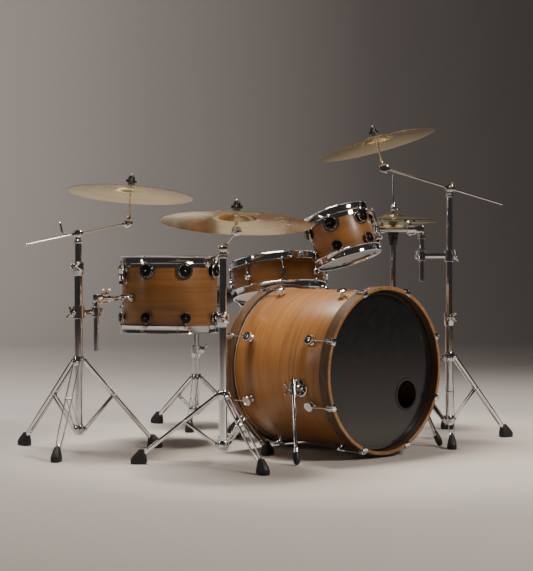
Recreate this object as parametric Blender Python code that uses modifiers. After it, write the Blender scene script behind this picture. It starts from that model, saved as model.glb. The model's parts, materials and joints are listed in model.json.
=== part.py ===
"""Acoustic drum kit: bass drum, floor tom, rack tom, snare, hi-hat, two crashes, a ride and a throne.

Metres, +Z up. The bass drum's axis lies along Y with its front head towards -Y; the player sits
on the +Y side, facing -Y. Sizes below are measured from the point on the floor under the middle
of the bass drum; the last step moves the kit so that its footprint is centred on the origin.
Every moving piece hangs from an empty that stands on its joint's axis.
"""
import math

import bmesh
import bpy
from mathutils import Matrix, Vector

# Fits
GAP = 0.0003            # between pieces that rest on each other
SLIDE = 0.0004          # round a tube or rod that slides or turns in a bore
FELT_GAP = 0.0022       # room for a cymbal to rock between its felts
FLOOR_LIFT = 0.001      # adjustable feet stop this far above the floor

# Drums: outer radius of the shell, depth of the shell, wall
BASS_RADIUS = 0.2795
BASS_DEPTH = 0.457
BASS_WALL = 0.008
FLOOR_TOM_RADIUS = 0.179
FLOOR_TOM_DEPTH = 0.268
RACK_TOM_RADIUS = 0.117
RACK_TOM_DEPTH = 0.175
SNARE_RADIUS = 0.178
SNARE_DEPTH = 0.124
TOM_WALL = 0.006

# Heads
HEAD_SKIN = 0.001
HEAD_COLLAR = 0.0024
HEAD_SKIRT = 0.012

# Wooden bass drum hoops and their claws
WOOD_HOOP_WALL = 0.0125
WOOD_HOOP_RADIUS = BASS_RADIUS + 2 * GAP + HEAD_COLLAR + WOOD_HOOP_WALL
WOOD_HOOP_DEPTH = 0.045
WOOD_HOOP_RISE = 0.032
CLAW_WIDTH = 0.024
CLAW_THICK = 0.004
BASS_LUGS = 8
BASS_LUG_TURN = 22.5
BASS_LUG_REACH = 0.075
BASS_LUG_RADIUS = 0.016
PORT_RADIUS = 0.052
PORT_OUT = 0.142
PORT_DROP = 0.093

# Where the drums stand: the bass drum just off the floor, the rack tom over it
BASS_LIFT = 0.010
BASS_AXIS_HEIGHT = WOOD_HOOP_RADIUS + BASS_LIFT
BASS_TOP = BASS_AXIS_HEIGHT + WOOD_HOOP_RADIUS
FLOOR_TOM_PLACE = (-0.247, 0.613, 0.560)
FLOOR_TOM_AXIS = (0.011, 0.010, 1.0)
RACK_TOM_PLACE = (0.235, 0.1725, BASS_TOP + 0.179)
RACK_TOM_AXIS = (-0.081, 0.326, 0.942)
SNARE_PLACE = (0.238, 0.521, 0.618)
SNARE_AXIS = (0.054, 0.201, 0.978)

# Metal hoops
HOOP_WALL = 0.0023
HOOP_RISE = 0.0095
HOOP_DROP = 0.020
HOOP_FLANGE = 0.0115
ROD_RADIUS = 0.003
LUG_THICK = 0.018
UPPER_LUG_RADIUS = 0.024
LOWER_LUG_RADIUS = 0.0175
SNARE_LUG_RADIUS = 0.013
FLOOR_LUG_DROPS = (0.046, 0.0485)
RACK_LUG_DROPS = (0.048, 0.039)
FLOOR_LUG_TURN = 21.8
RACK_LUG_TURN = 28.1
SNARE_LUG_TURN = 7.0
TOM_LUGS = 8
RACK_LUGS = 6
SNARE_LUGS = 8

# Cymbals: radius, crown (height of the bell above the edge), bell radius
CYMBAL_SHEET = 0.0014
CYMBAL_HOLE = 0.006
CRASH_RADIUS = 0.2286
CRASH_CROWN = 0.034
RIDE_RADIUS = 0.259
RIDE_CROWN = 0.040
HAT_RADIUS = 0.177
HAT_CROWN = 0.025
BELL_SHARE = 0.28

# Stand tubes
UPPER_TUBE = 0.0118
TUBE_WALL = 0.002
BASE_WALL = 0.0023
BASE_TUBE = UPPER_TUBE + SLIDE + BASE_WALL
UPPER_HIDDEN = 0.130
COLLAR_HEIGHT = 0.034
COLLAR_WALL = 0.0065
COLLAR_LIP = 0.004
BRACE_SHARE = 0.42
LEG_WIDTH = 0.016
LEG_THICK = 0.0055
FOOT_LENGTH = 0.050
FOOT_WIDTH = 0.030
FOOT_HEIGHT = 0.030
BOOM_ROD = 0.0048
HUB_ROOM = 0.0032
HUB_RADIUS = UPPER_TUBE + HUB_ROOM
HUB_THICK = 0.012
CYMBAL_ROD = 0.0032
FELT_RADIUS = 0.013
FELT_THICK = 0.008
NUT_RADIUS = 0.008
NUT_HEIGHT = 0.026

# Tom arms
ARM_ROD = 0.009
ARM_BAR = 0.022
ARM_WALL = 0.007
BRACKET_ROOM = 0.004
WING_ROD = 0.005
WING_LENGTH = 0.034

# Tom brackets
BRACKET_STANDOFF = 0.0075
BRACKET_PLATE = 0.006
BRACKET_WIDTH = 0.040
BRACKET_HEIGHT = 0.026
BRACKET_REACH = 0.040
BOSS_WALL = 0.0031
BOSS_RADIUS = ARM_ROD + SLIDE + BOSS_WALL

# Spurs: where the bracket's sleeve and the foot stand
SPUR_STANDOFF = 0.0325
SPUR_OUT = BASS_RADIUS + SPUR_STANDOFF
SPUR_FRONT = -0.112
SPUR_DROP = 0.058
SPUR_HEIGHT = BASS_AXIS_HEIGHT - SPUR_DROP
SPUR_SPLAY = 0.066
SPUR_FOOT = (SPUR_OUT + SPUR_SPLAY, -0.195)
SPUR_PLATE = 0.005
SPUR_PLATE_LENGTH = 0.060
SPUR_PLATE_WIDTH = 0.036
SPUR_STEM = 0.008
SPUR_SLEEVE = 0.044
SPUR_SLEEVE_WALL = 0.006
SPUR_ROD = 0.007
SPUR_TAIL = 0.040
SPUR_TIP = 0.040
SPUR_TIP_RADIUS = 0.014

# Hi-hat
HAT_PLACE = (0.703, 0.330)
HAT_EDGE_HEIGHT = 0.844
HAT_CUP_LOW = 0.745
HAT_ROD_TOP = 1.030
HAT_ROD = 0.003
HAT_TUBE = 0.011
HAT_LOWER_TOP = 0.400
HAT_FOOT_WAY = (-0.648, 0.762)
HAT_OPENING = 0.010

# Snare stand
SNARE_TUBE_TOP = 0.330
BASKET_DROP = 0.120
BASKET_ROD = 0.005
FINGER_HEIGHT = 0.020

# Throne
THRONE_PLACE = (0.180, 0.945)
THRONE_TUBE_TOP = 0.330
SEAT_RADIUS = 0.165
SEAT_THICK = 0.085
SEAT_TOP = 0.579

# Bass drum pedal
PEDAL_WIDTH = 0.090
PEDAL_PLATE = 0.005
PEDAL_ROOM = 0.0055
PEDAL_FRONT = BASS_DEPTH / 2 + WOOD_HOOP_RISE + CLAW_THICK + PEDAL_ROOM
PEDAL_LENGTH = 0.300
AXLE_HEIGHT = 0.205
AXLE_BACK = 0.050
AXLE_RADIUS = 0.005
BEATER_REST = 35.0
BEATER_LENGTH = 0.150
BEATER_RADIUS = 0.024
FOOTBOARD_RISE = 15.0
HEEL_LENGTH = 0.050
HEEL_HEIGHT = 0.010
HINGE_HEIGHT = 0.016
HINGE_ROOM = 0.004
KICK_TOE_ROOM = 0.055
POST_THICK = 0.008
POST_WIDTH = 0.022

# Hi-hat details
HAT_CUP = 0.022
HAT_PLATE_LENGTH = 0.300
HAT_TOE_ROOM = 0.030
HAT_LEGS = (75.0, 180.0, 285.0)
HAT_LEG_REACH = 0.250
HAT_COLLAR = 0.250
HAT_LOW_COLLAR = 0.080
HAT_ROD_LOW = 0.120
CLUTCH_RADIUS = 0.011
CLUTCH_NUT = 0.012
CLUTCH_HEIGHT = 0.036

# Snare details
SNARE_LEGS = (0.0, 120.0, 240.0)
SNARE_LEG_REACH = 0.230
SNARE_COLLAR = 0.230
SNARE_LOW_COLLAR = 0.075
SNARE_LUG_HEIGHT = -0.0105
SNARE_TAIL_HEIGHT = SNARE_LUG_RADIUS - SNARE_LUG_HEIGHT + 0.004
HOUSING_DEPTH = 0.010
HOUSING_LOW = HOOP_DROP - SNARE_DEPTH / 2 - 0.0015
HOUSING_HEIGHT = 0.038
BASKET_HUB = 0.030
BASKET_ARMS = (29.5, 149.5, 269.5)
STRAINER_ANGLE = 119.5
LEVER_OUT = 0.016
LEVER_LOW = -0.020
LEVER_WIDTH = 0.014
LEVER_HUB = 0.005
LEVER_LENGTH = 0.052

# Throne details
THRONE_LEGS = (101.0, 221.0, 341.0)
THRONE_LEG_REACH = 0.235
THRONE_COLLAR = 0.200
THRONE_LOW_COLLAR = 0.070
SEAT_PLATE = 0.060

# Tom arms: bar height, where the bent rod stands, its lower end, its place on the drum
FLOOR_BAR_HEIGHT = 0.502
FLOOR_ROD_OUT = 0.078
FLOOR_ROD_LOW = 0.360
FLOOR_HANG = -0.010
RACK_BAR_HEIGHT = RACK_TOM_PLACE[2] - 0.074
RACK_ROD_OUT = 0.106
RACK_ROD_LOW = RACK_TOM_PLACE[2] - 0.169
RACK_HANG = 0.027

# Facets
BASS_STEPS = 28
TOM_STEPS = 20
CYMBAL_STEPS = 22
TUBE_SIDES = 10
LUG_SIDES = 8
ROD_SIDES = 4

FINISHES = {                # colour, metallic, roughness
    "honey_wood": ((0.62, 0.31, 0.10), 0.0, 0.35),
    "hoop_wood": ((0.30, 0.15, 0.06), 0.0, 0.40),
    "chrome": ((0.80, 0.80, 0.82), 1.0, 0.12),
    "bronze": ((0.72, 0.58, 0.34), 1.0, 0.28),
    "black_skin": ((0.02, 0.02, 0.022), 0.0, 0.35),
    "white_skin": ((0.86, 0.86, 0.84), 0.0, 0.55),
    "rubber": ((0.03, 0.03, 0.03), 0.0, 0.75),
    "seat_vinyl": ((0.025, 0.025, 0.027), 0.0, 0.55),
}


def new_collection(name):
    """A collection of that name in the scene."""
    collection = bpy.data.collections.new(name)
    bpy.context.scene.collection.children.link(collection)
    return collection


def make_materials():
    """One Principled BSDF material for each finish."""
    materials = {}
    for name, (colour, metallic, roughness) in FINISHES.items():
        material = bpy.data.materials.new(name)
        material.use_nodes = True
        shader = material.node_tree.nodes["Principled BSDF"]
        shader.inputs["Base Color"].default_value = (*colour, 1.0)
        shader.inputs["Metallic"].default_value = metallic
        shader.inputs["Roughness"].default_value = roughness
        materials[name] = material
    return materials


for leftover in list(bpy.data.objects):
    bpy.data.objects.remove(leftover)
KIT = new_collection("drum_kit")
CUTTERS = new_collection("cutters")
MATERIALS = make_materials()


# ---------------------------------------------------------------- frames

def frame(name, parent, place, up=(0.0, 0.0, 1.0), ahead=(1.0, 0.0, 0.0)):
    """An empty in kit coordinates: local Z along up, local X as near to ahead as it can be."""
    z_axis = Vector(up).normalized()
    y_axis = z_axis.cross(Vector(ahead)).normalized()
    x_axis = y_axis.cross(z_axis)
    matrix = Matrix((x_axis, y_axis, z_axis)).transposed().to_4x4()
    matrix.translation = Vector(place)
    empty = bpy.data.objects.new(name, None)
    KIT.objects.link(empty)
    empty.empty_display_size = 0.03
    if parent is not None:
        empty.parent = parent
        empty.matrix_parent_inverse = parent.matrix_basis.inverted()
    empty.matrix_basis = matrix
    return empty


def local(base, point):
    """A point in kit coordinates, seen from the frame."""
    return base.matrix_basis.inverted() @ Vector(point)


def spoke(radius, angle, height=0.0):
    """The point at that radius, angle in degrees and height."""
    turn = math.radians(angle)
    return Vector((radius * math.cos(turn), radius * math.sin(turn), height))


# ---------------------------------------------------------------- pieces, each a closed bmesh

def rod(start, end, radius, sides=TUBE_SIDES, end_radius=None):
    """A round bar or cone between two points."""
    start, end = Vector(start), Vector(end)
    along = end - start
    turn = along.to_track_quat("Z", "Y").to_matrix().to_4x4()
    piece = bmesh.new()
    bmesh.ops.create_cone(
        piece, cap_ends=True, segments=sides, radius1=radius,
        radius2=radius if end_radius is None else end_radius, depth=along.length,
        matrix=Matrix.Translation((start + end) / 2) @ turn)
    return piece


def bore(start, end, radius):
    """A cutter for the hole in which a bar of that radius slides or turns, clear of its facets."""
    return rod(start, end, (radius + SLIDE) / math.cos(math.pi / TUBE_SIDES))


def block(centre, size, turn=None):
    """A rectangular block; turn is an optional rotation matrix about its centre."""
    piece = bmesh.new()
    scale = Matrix.Diagonal((*size, 1.0))
    spin = Matrix() if turn is None else turn
    bmesh.ops.create_cube(piece, size=1.0, matrix=Matrix.Translation(Vector(centre)) @ spin @ scale)
    return piece


def strip(start, end, width, thick, sideways):
    """A flat bar between two points, its width along sideways."""
    start, end = Vector(start), Vector(end)
    z_axis = (end - start).normalized()
    x_axis = Vector(sideways).normalized()
    y_axis = z_axis.cross(x_axis).normalized()
    turn = Matrix((y_axis.cross(z_axis), y_axis, z_axis)).transposed().to_4x4()
    return block((start + end) / 2, (width, thick, (end - start).length), turn)


def ball(centre, radius):
    """A coarse ball."""
    piece = bmesh.new()
    bmesh.ops.create_uvsphere(piece, u_segments=10, v_segments=6, radius=radius,
                              matrix=Matrix.Translation(Vector(centre)))
    return piece


def screw_object(name, profile, steps, closed=True):
    """A turned object: the (radius, height) profile with a live Screw modifier about Z."""
    outline = bmesh.new()
    points = [outline.verts.new((radius, 0.0, height)) for radius, height in profile]
    for first, second in zip(points, points[1:]):
        outline.edges.new((first, second))
    if closed:
        outline.edges.new((points[-1], points[0]))
    mesh = bpy.data.meshes.new(name)
    outline.to_mesh(mesh)
    outline.free()
    turned = bpy.data.objects.new(name, mesh)
    screw = turned.modifiers.new("turn", "SCREW")
    screw.steps = steps
    screw.render_steps = steps
    screw.use_merge_vertices = True
    screw.merge_threshold = 0.00005
    screw.use_normal_calculate = False
    return turned


def spun(profile, steps, closed=True):
    """A turned piece as a bmesh, for joining to others."""
    turned = screw_object("turning", profile, steps, closed)
    CUTTERS.objects.link(turned)
    graph = bpy.context.evaluated_depsgraph_get()
    mesh = bpy.data.meshes.new_from_object(turned.evaluated_get(graph))
    piece = bmesh.new()
    piece.from_mesh(mesh)
    bpy.data.objects.remove(turned)
    return piece


def tube(low, high, radius, wall=TUBE_WALL, sides=TUBE_SIDES):
    """An upright open tube between two heights."""
    inner = radius - wall
    return spun([(inner, high), (radius, high), (radius, low), (inner, low)], sides)


def moved(piece, matrix):
    """The same piece, carried by a matrix."""
    bmesh.ops.transform(piece, matrix=matrix, verts=piece.verts)
    return piece


def joined(pieces):
    """Several pieces in one bmesh."""
    mesh = bpy.data.meshes.new("joined")
    whole = bmesh.new()
    for piece in pieces:
        piece.to_mesh(mesh)
        whole.from_mesh(mesh)
    bpy.data.meshes.remove(mesh)
    return whole


# ---------------------------------------------------------------- nodes

def finish_object(thing, finish, parent):
    """Put a part in the kit with its material, shaded smooth, on its frame."""
    KIT.objects.link(thing)
    thing.data.materials.append(MATERIALS[finish])
    thing.parent = parent
    thing.data.shade_smooth()
    thing.data.set_sharp_from_angle(angle=math.radians(35.0))
    return thing


def cutter(name, pieces, parent):
    """A hidden object whose pieces are joined to a part or cut from it."""
    mesh = bpy.data.meshes.new(name)
    joined(pieces).to_mesh(mesh)
    tool = bpy.data.objects.new(name, mesh)
    CUTTERS.objects.link(tool)
    tool.parent = parent
    tool.hide_render = True
    tool.display_type = "WIRE"
    return tool


def boolean(thing, operation, tool, overlapping=False):
    """An exact Boolean on a part."""
    step = thing.modifiers.new(operation.lower(), "BOOLEAN")
    step.operation = operation
    step.solver = "EXACT"
    step.use_self = overlapping
    step.object = tool


def node(name, finish, parent, pieces, holes=()):
    """A part: the union of its pieces, less its holes."""
    mesh = bpy.data.meshes.new(name)
    pieces[0].to_mesh(mesh)
    thing = finish_object(bpy.data.objects.new(name, mesh), finish, parent)
    if len(pieces) > 1:
        boolean(thing, "UNION", cutter(name + "_pieces", pieces[1:], parent), overlapping=True)
    if holes:
        boolean(thing, "DIFFERENCE", cutter(name + "_holes", holes, parent))
    return thing


def turned_node(name, finish, parent, profile, steps, closed=True):
    """A part that is a plain turning."""
    return finish_object(screw_object(name, profile, steps, closed), finish, parent)


# ---------------------------------------------------------------- drums

def drum_shell(name, parent, radius, depth, wall, steps):
    """The wooden cylinder, its axis along local Z."""
    half = depth / 2
    inner = radius - wall
    profile = [(inner, half), (radius, half), (radius, -half), (inner, -half)]
    return turned_node(name, "honey_wood", parent, profile, steps)


def drum_head(name, finish, parent, radius, depth, side, steps):
    """A skin over one end of the shell, with the collar that fits round it."""
    inner = radius + GAP
    outer = inner + HEAD_COLLAR
    seat = depth / 2 + GAP
    profile = [(0.0, seat + HEAD_SKIN), (outer, seat + HEAD_SKIN), (outer, seat - HEAD_SKIRT),
               (inner, seat - HEAD_SKIRT), (inner, seat), (0.0, seat)]
    if side < 0:
        profile = [(across, -height) for across, height in reversed(profile)]
    return turned_node(name, finish, parent, profile, steps, closed=False)


def flip(side):
    """The turn that takes the upper end of a drum to its lower end."""
    return Matrix() if side > 0 else Matrix.Rotation(math.pi, 4, "X")


def lug_angles(count, phase):
    """Where the lugs stand round a drum, in degrees."""
    return [phase + 360.0 * index / count for index in range(count)]


def lug(radius, angle, height, lug_radius):
    """A round lug, standing just clear of the shell."""
    near = spoke(radius + GAP, angle, height)
    far = spoke(radius + GAP + LUG_THICK, angle, height)
    return rod(near, far, lug_radius, LUG_SIDES)


def metal_hoop(name, parent, radius, depth, side, angles, lug_radius, lug_height, steps, extra=()):
    """A flanged hoop with its tension rods and lugs, which stand just clear of the shell."""
    inner = radius + GAP + HEAD_COLLAR + GAP
    outer = inner + HOOP_WALL
    flange = outer + HOOP_FLANGE
    top = depth / 2 + HOOP_RISE
    low = depth / 2 - HOOP_DROP
    ledge = low + HOOP_WALL
    pieces = [spun([(inner, top), (outer, top), (outer, ledge), (flange, ledge), (flange, low),
                    (inner, low)], steps)]
    rod_circle = radius + GAP + LUG_THICK * 0.6
    for angle in angles:
        if lug_radius:
            pieces.append(lug(radius, angle, lug_height, lug_radius))
        rod_top = spoke(rod_circle, angle, ledge + HOOP_WALL)
        pieces.append(rod(rod_top, spoke(rod_circle, angle, lug_height), ROD_RADIUS, ROD_SIDES))
    pieces = [moved(piece, flip(side)) for piece in pieces]
    return node(name, "chrome", parent, pieces + list(extra))


def bracket_distance(axis, away, radius):
    """How far from a tom's axis its bracket begins, measured along the arm."""
    slant = Vector(axis).normalized().dot(Vector(away).normalized())
    return (radius + BRACKET_STANDOFF) / math.sqrt(1.0 - slant * slant)


def tom_bracket(name, parent, joint, radius):
    """The plate and boss that hold a tom on its arm; the joint's X axis points out along the arm."""
    away = joint.matrix_basis.to_3x3() @ Vector((1.0, 0.0, 0.0))
    place = local(parent, joint.matrix_basis.translation)
    reach = (parent.matrix_basis.inverted().to_3x3() @ away).normalized()
    upright = reach.cross(Vector((0.0, 0.0, 1.0))).cross(reach).normalized()
    plate_start = place + reach * bracket_distance((0.0, 0.0, 1.0), reach, radius)
    plate = strip(plate_start, plate_start + reach * BRACKET_PLATE, BRACKET_WIDTH,
                  BRACKET_HEIGHT, reach.cross(upright))
    boss = rod(plate_start + reach * BRACKET_PLATE / 2, plate_start + reach * BRACKET_REACH,
               BOSS_RADIUS)
    socket = bore(plate_start + reach * (BRACKET_PLATE + 0.002), plate_start + reach * BRACKET_REACH * 2,
                  ARM_ROD)
    return node(name, "chrome", parent, [plate, boss], [socket])


def tom(name, parent, joint_name, place, axis, stand_place, radius, depth, angles, drops, offset):
    """A tom with shell, heads, hoops and bracket, hung on its arm's joint."""
    axis = Vector(axis).normalized()
    hang = Vector(place) + axis * offset
    reach = (stand_place[0] - hang.x, stand_place[1] - hang.y, 0.0)
    joint = frame(joint_name, parent, hang, ahead=reach)
    drum = frame(name + "_axis", joint, place, up=axis)
    drum_shell(name + "_shell", drum, radius, depth, TOM_WALL, TOM_STEPS)
    drum_head(name + "_batter_head", "white_skin", drum, radius, depth, 1, TOM_STEPS)
    drum_head(name + "_resonant_head", "black_skin", drum, radius, depth, -1, TOM_STEPS)
    metal_hoop(name + "_top_hoop", drum, radius, depth, 1, angles, UPPER_LUG_RADIUS,
               depth / 2 - drops[0], TOM_STEPS)
    metal_hoop(name + "_bottom_hoop", drum, radius, depth, -1, [-angle for angle in angles],
               LOWER_LUG_RADIUS, depth / 2 - drops[1], TOM_STEPS)
    tom_bracket(name + "_bracket", drum, joint, radius)
    return joint


def wood_hoop(name, parent, side):
    """A wooden bass drum hoop joined to its claws, tension rods and lugs."""
    inner = BASS_RADIUS + GAP + HEAD_COLLAR + GAP
    top = BASS_DEPTH / 2 + WOOD_HOOP_RISE
    low = top - WOOD_HOOP_DEPTH
    lug_height = BASS_DEPTH / 2 - BASS_LUG_REACH
    rod_circle = WOOD_HOOP_RADIUS + CLAW_THICK + ROD_RADIUS
    pieces = [spun([(inner, top), (WOOD_HOOP_RADIUS, top), (WOOD_HOOP_RADIUS, low), (inner, low)],
                   BASS_STEPS)]
    claw_low = top - WOOD_HOOP_DEPTH * 0.6
    for angle in lug_angles(BASS_LUGS, BASS_LUG_TURN):
        turn = Matrix.Rotation(math.radians(angle), 4, "Z")
        claw_in = WOOD_HOOP_RADIUS - CLAW_THICK
        claw_out = rod_circle + ROD_RADIUS
        claw = block(((claw_in + claw_out) / 2, 0.0, (claw_low + top + CLAW_THICK) / 2),
                     (claw_out - claw_in, CLAW_WIDTH, top + CLAW_THICK - claw_low))
        post = rod((BASS_RADIUS + GAP, 0.0, lug_height), (claw_out + CLAW_THICK, 0.0, lug_height),
                   BASS_LUG_RADIUS, LUG_SIDES)
        tension = rod((rod_circle, 0.0, claw_low + CLAW_THICK), (rod_circle, 0.0, lug_height),
                      ROD_RADIUS, ROD_SIDES)
        pieces += [moved(piece, turn) for piece in (claw, post, tension)]
    return node(name, "hoop_wood", parent, [moved(piece, flip(side)) for piece in pieces])


def spur(name, parent, side):
    """A spur: its bracket on the shell, and the leg that slides through it."""
    pivot = Vector((side * SPUR_OUT, SPUR_FRONT, SPUR_HEIGHT))
    foot = Vector((side * SPUR_FOOT[0], SPUR_FOOT[1], FLOOR_LIFT))
    along = (foot - pivot).normalized()
    joint = frame(name + "_slide", parent, pivot, up=along)
    below = math.atan2(BASS_AXIS_HEIGHT - SPUR_HEIGHT, SPUR_OUT)
    normal = Vector((side * math.cos(below), 0.0, -math.sin(below)))
    seat = Vector((0.0, SPUR_FRONT, BASS_AXIS_HEIGHT)) + normal * (BASS_RADIUS + GAP)
    base = frame(name + "_seat", parent, seat, up=normal, ahead=(0.0, 1.0, 0.0))
    holder_axis = base.matrix_basis.inverted().to_3x3() @ along
    holder = local(base, pivot)
    plate = block((0.0, 0.0, SPUR_PLATE / 2), (SPUR_PLATE_LENGTH, SPUR_PLATE_WIDTH, SPUR_PLATE))
    stem = rod((0.0, 0.0, SPUR_PLATE / 2), holder, SPUR_STEM)
    sleeve = rod(holder - holder_axis * SPUR_SLEEVE / 2, holder + holder_axis * SPUR_SLEEVE / 2,
                 SPUR_ROD + SPUR_SLEEVE_WALL)
    hole = bore(holder - holder_axis * SPUR_SLEEVE, holder + holder_axis * SPUR_SLEEVE, SPUR_ROD)
    node(name + "_bracket", "chrome", base, [plate, stem, sleeve], [hole])
    length = (foot - pivot).length
    leg = rod((0.0, 0.0, -SPUR_TAIL), (0.0, 0.0, length - SPUR_TIP), SPUR_ROD)
    tip_turn = joint.matrix_basis.inverted().to_3x3() @ Vector((0.0, 0.0, 1.0))
    tip_foot = local(joint, foot)
    tip = rod(tip_foot, tip_foot + tip_turn * SPUR_TIP * 1.4, SPUR_TIP_RADIUS, 10, SPUR_ROD * 1.2)
    node(name + "_leg", "chrome", joint, [leg, tip])
    return joint


def bass_drum(root):
    """The bass drum with its front end towards -Y."""
    drum = frame("bass_axis", root, (0.0, 0.0, BASS_AXIS_HEIGHT), up=(0.0, -1.0, 0.0))
    drum_shell("bass_shell", drum, BASS_RADIUS, BASS_DEPTH, BASS_WALL, BASS_STEPS)
    drum_head("bass_batter_head", "white_skin", drum, BASS_RADIUS, BASS_DEPTH, -1, BASS_STEPS)
    front = drum_head("bass_front_head", "black_skin", drum, BASS_RADIUS, BASS_DEPTH, 1, BASS_STEPS)
    port_place = local(drum, (PORT_OUT, 0.0, BASS_AXIS_HEIGHT - PORT_DROP))
    port_place.z = BASS_DEPTH / 2
    reach = Vector((0.0, 0.0, HEAD_SKIRT))
    hole = rod(port_place - reach, port_place + reach, PORT_RADIUS, sides=20)
    boolean(front, "DIFFERENCE", cutter("port_hole", [hole], drum))
    wood_hoop("bass_front_hoop", drum, 1)
    wood_hoop("bass_rear_hoop", drum, -1)
    spur("left_spur", root, -1)
    spur("right_spur", root, 1)


# ---------------------------------------------------------------- stands

def tripod(angles, reach, collar_height, low_height):
    """Legs, braces, feet and collars of a tripod, about a tube at the local Z axis."""
    pieces = [
        rod((0.0, 0.0, collar_height - COLLAR_HEIGHT / 2), (0.0, 0.0, collar_height + COLLAR_HEIGHT / 2),
            BASE_TUBE + COLLAR_WALL),
        rod((0.0, 0.0, low_height - COLLAR_HEIGHT / 2), (0.0, 0.0, low_height + COLLAR_HEIGHT / 2),
            BASE_TUBE + COLLAR_WALL)]
    ankle = reach - FOOT_LENGTH / 2
    for angle in angles:
        across = spoke(1.0, angle + 90.0)
        top = spoke(BASE_TUBE + COLLAR_WALL / 2, angle, collar_height)
        toe = spoke(ankle, angle, FOOT_HEIGHT / 2)
        knee = top.lerp(toe, BRACE_SHARE)
        hip = spoke(BASE_TUBE + COLLAR_WALL / 2, angle, low_height)
        turn = Matrix.Rotation(math.radians(angle), 4, "Z")
        pieces.append(strip(top, toe, LEG_WIDTH, LEG_THICK, across))
        pieces.append(strip(hip, knee, LEG_WIDTH * 0.8, LEG_THICK * 0.8, across))
        pieces.append(block(spoke(ankle, angle, FOOT_HEIGHT / 2),
                            (FOOT_LENGTH, FOOT_WIDTH, FOOT_HEIGHT), turn))
    return pieces


def stand_base(name, root, place, angles, reach, collar_height, low_height, tube_top):
    """The lower tube on its tripod, with a collar at the top and a bore for the next tube."""
    base = frame(name + "_floor", root, (*place, 0.0))
    lower = rod((0.0, 0.0, low_height - COLLAR_HEIGHT), (0.0, 0.0, tube_top), BASE_TUBE)
    collar = rod((0.0, 0.0, tube_top - COLLAR_HEIGHT), (0.0, 0.0, tube_top + COLLAR_LIP),
                 BASE_TUBE + COLLAR_WALL)
    hole = bore((0.0, 0.0, 0.0), (0.0, 0.0, tube_top * 2), UPPER_TUBE)
    return node(name + "_base", "chrome", base,
                [lower, collar] + tripod(angles, reach, collar_height, low_height), [hole])


def cymbal_profile(radius, crown):
    """Closed outline of a cymbal: bell, bow and edge, with the hole at height 0."""
    bell = radius * BELL_SHARE
    top = [(CYMBAL_HOLE, 0.0), (bell * 0.35, -crown * 0.02), (bell * 0.75, -crown * 0.25),
           (bell, -crown * 0.52), (radius, -crown)]
    return top + [(across, height - CYMBAL_SHEET) for across, height in reversed(top)]


def cymbal(name, parent, radius, crown):
    """A cymbal whose hole is at the frame's origin."""
    return turned_node(name, "bronze", parent, cymbal_profile(radius, crown), CYMBAL_STEPS)


def cymbal_seat(name, parent, rod_length):
    """Tilter hub, rod, felts and wing nut; the cymbal's hole is rod_length up local Z."""
    low_felt = rod_length - CYMBAL_SHEET - FELT_GAP
    high_felt = rod_length + FELT_GAP
    nut_low = high_felt + FELT_THICK
    nut_top = nut_low + NUT_HEIGHT
    pieces = [
        rod((0.0, -HUB_THICK / 2, 0.0), (0.0, HUB_THICK / 2, 0.0), HUB_RADIUS),
        rod((0.0, 0.0, 0.0), (0.0, 0.0, nut_top + CYMBAL_ROD), CYMBAL_ROD, 10),
        rod((0.0, 0.0, low_felt - FELT_THICK), (0.0, 0.0, low_felt), FELT_RADIUS),
        rod((0.0, 0.0, high_felt), (0.0, 0.0, nut_low), FELT_RADIUS),
        rod((0.0, 0.0, nut_low - FELT_THICK / 2), (0.0, 0.0, nut_top), NUT_RADIUS, 8)]
    return node(name, "chrome", parent, pieces)


def tilted(along):
    """The direction nearest to straight up that is square to along."""
    upright = Vector((0.0, 0.0, 1.0))
    return upright - along * along.dot(upright)


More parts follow.
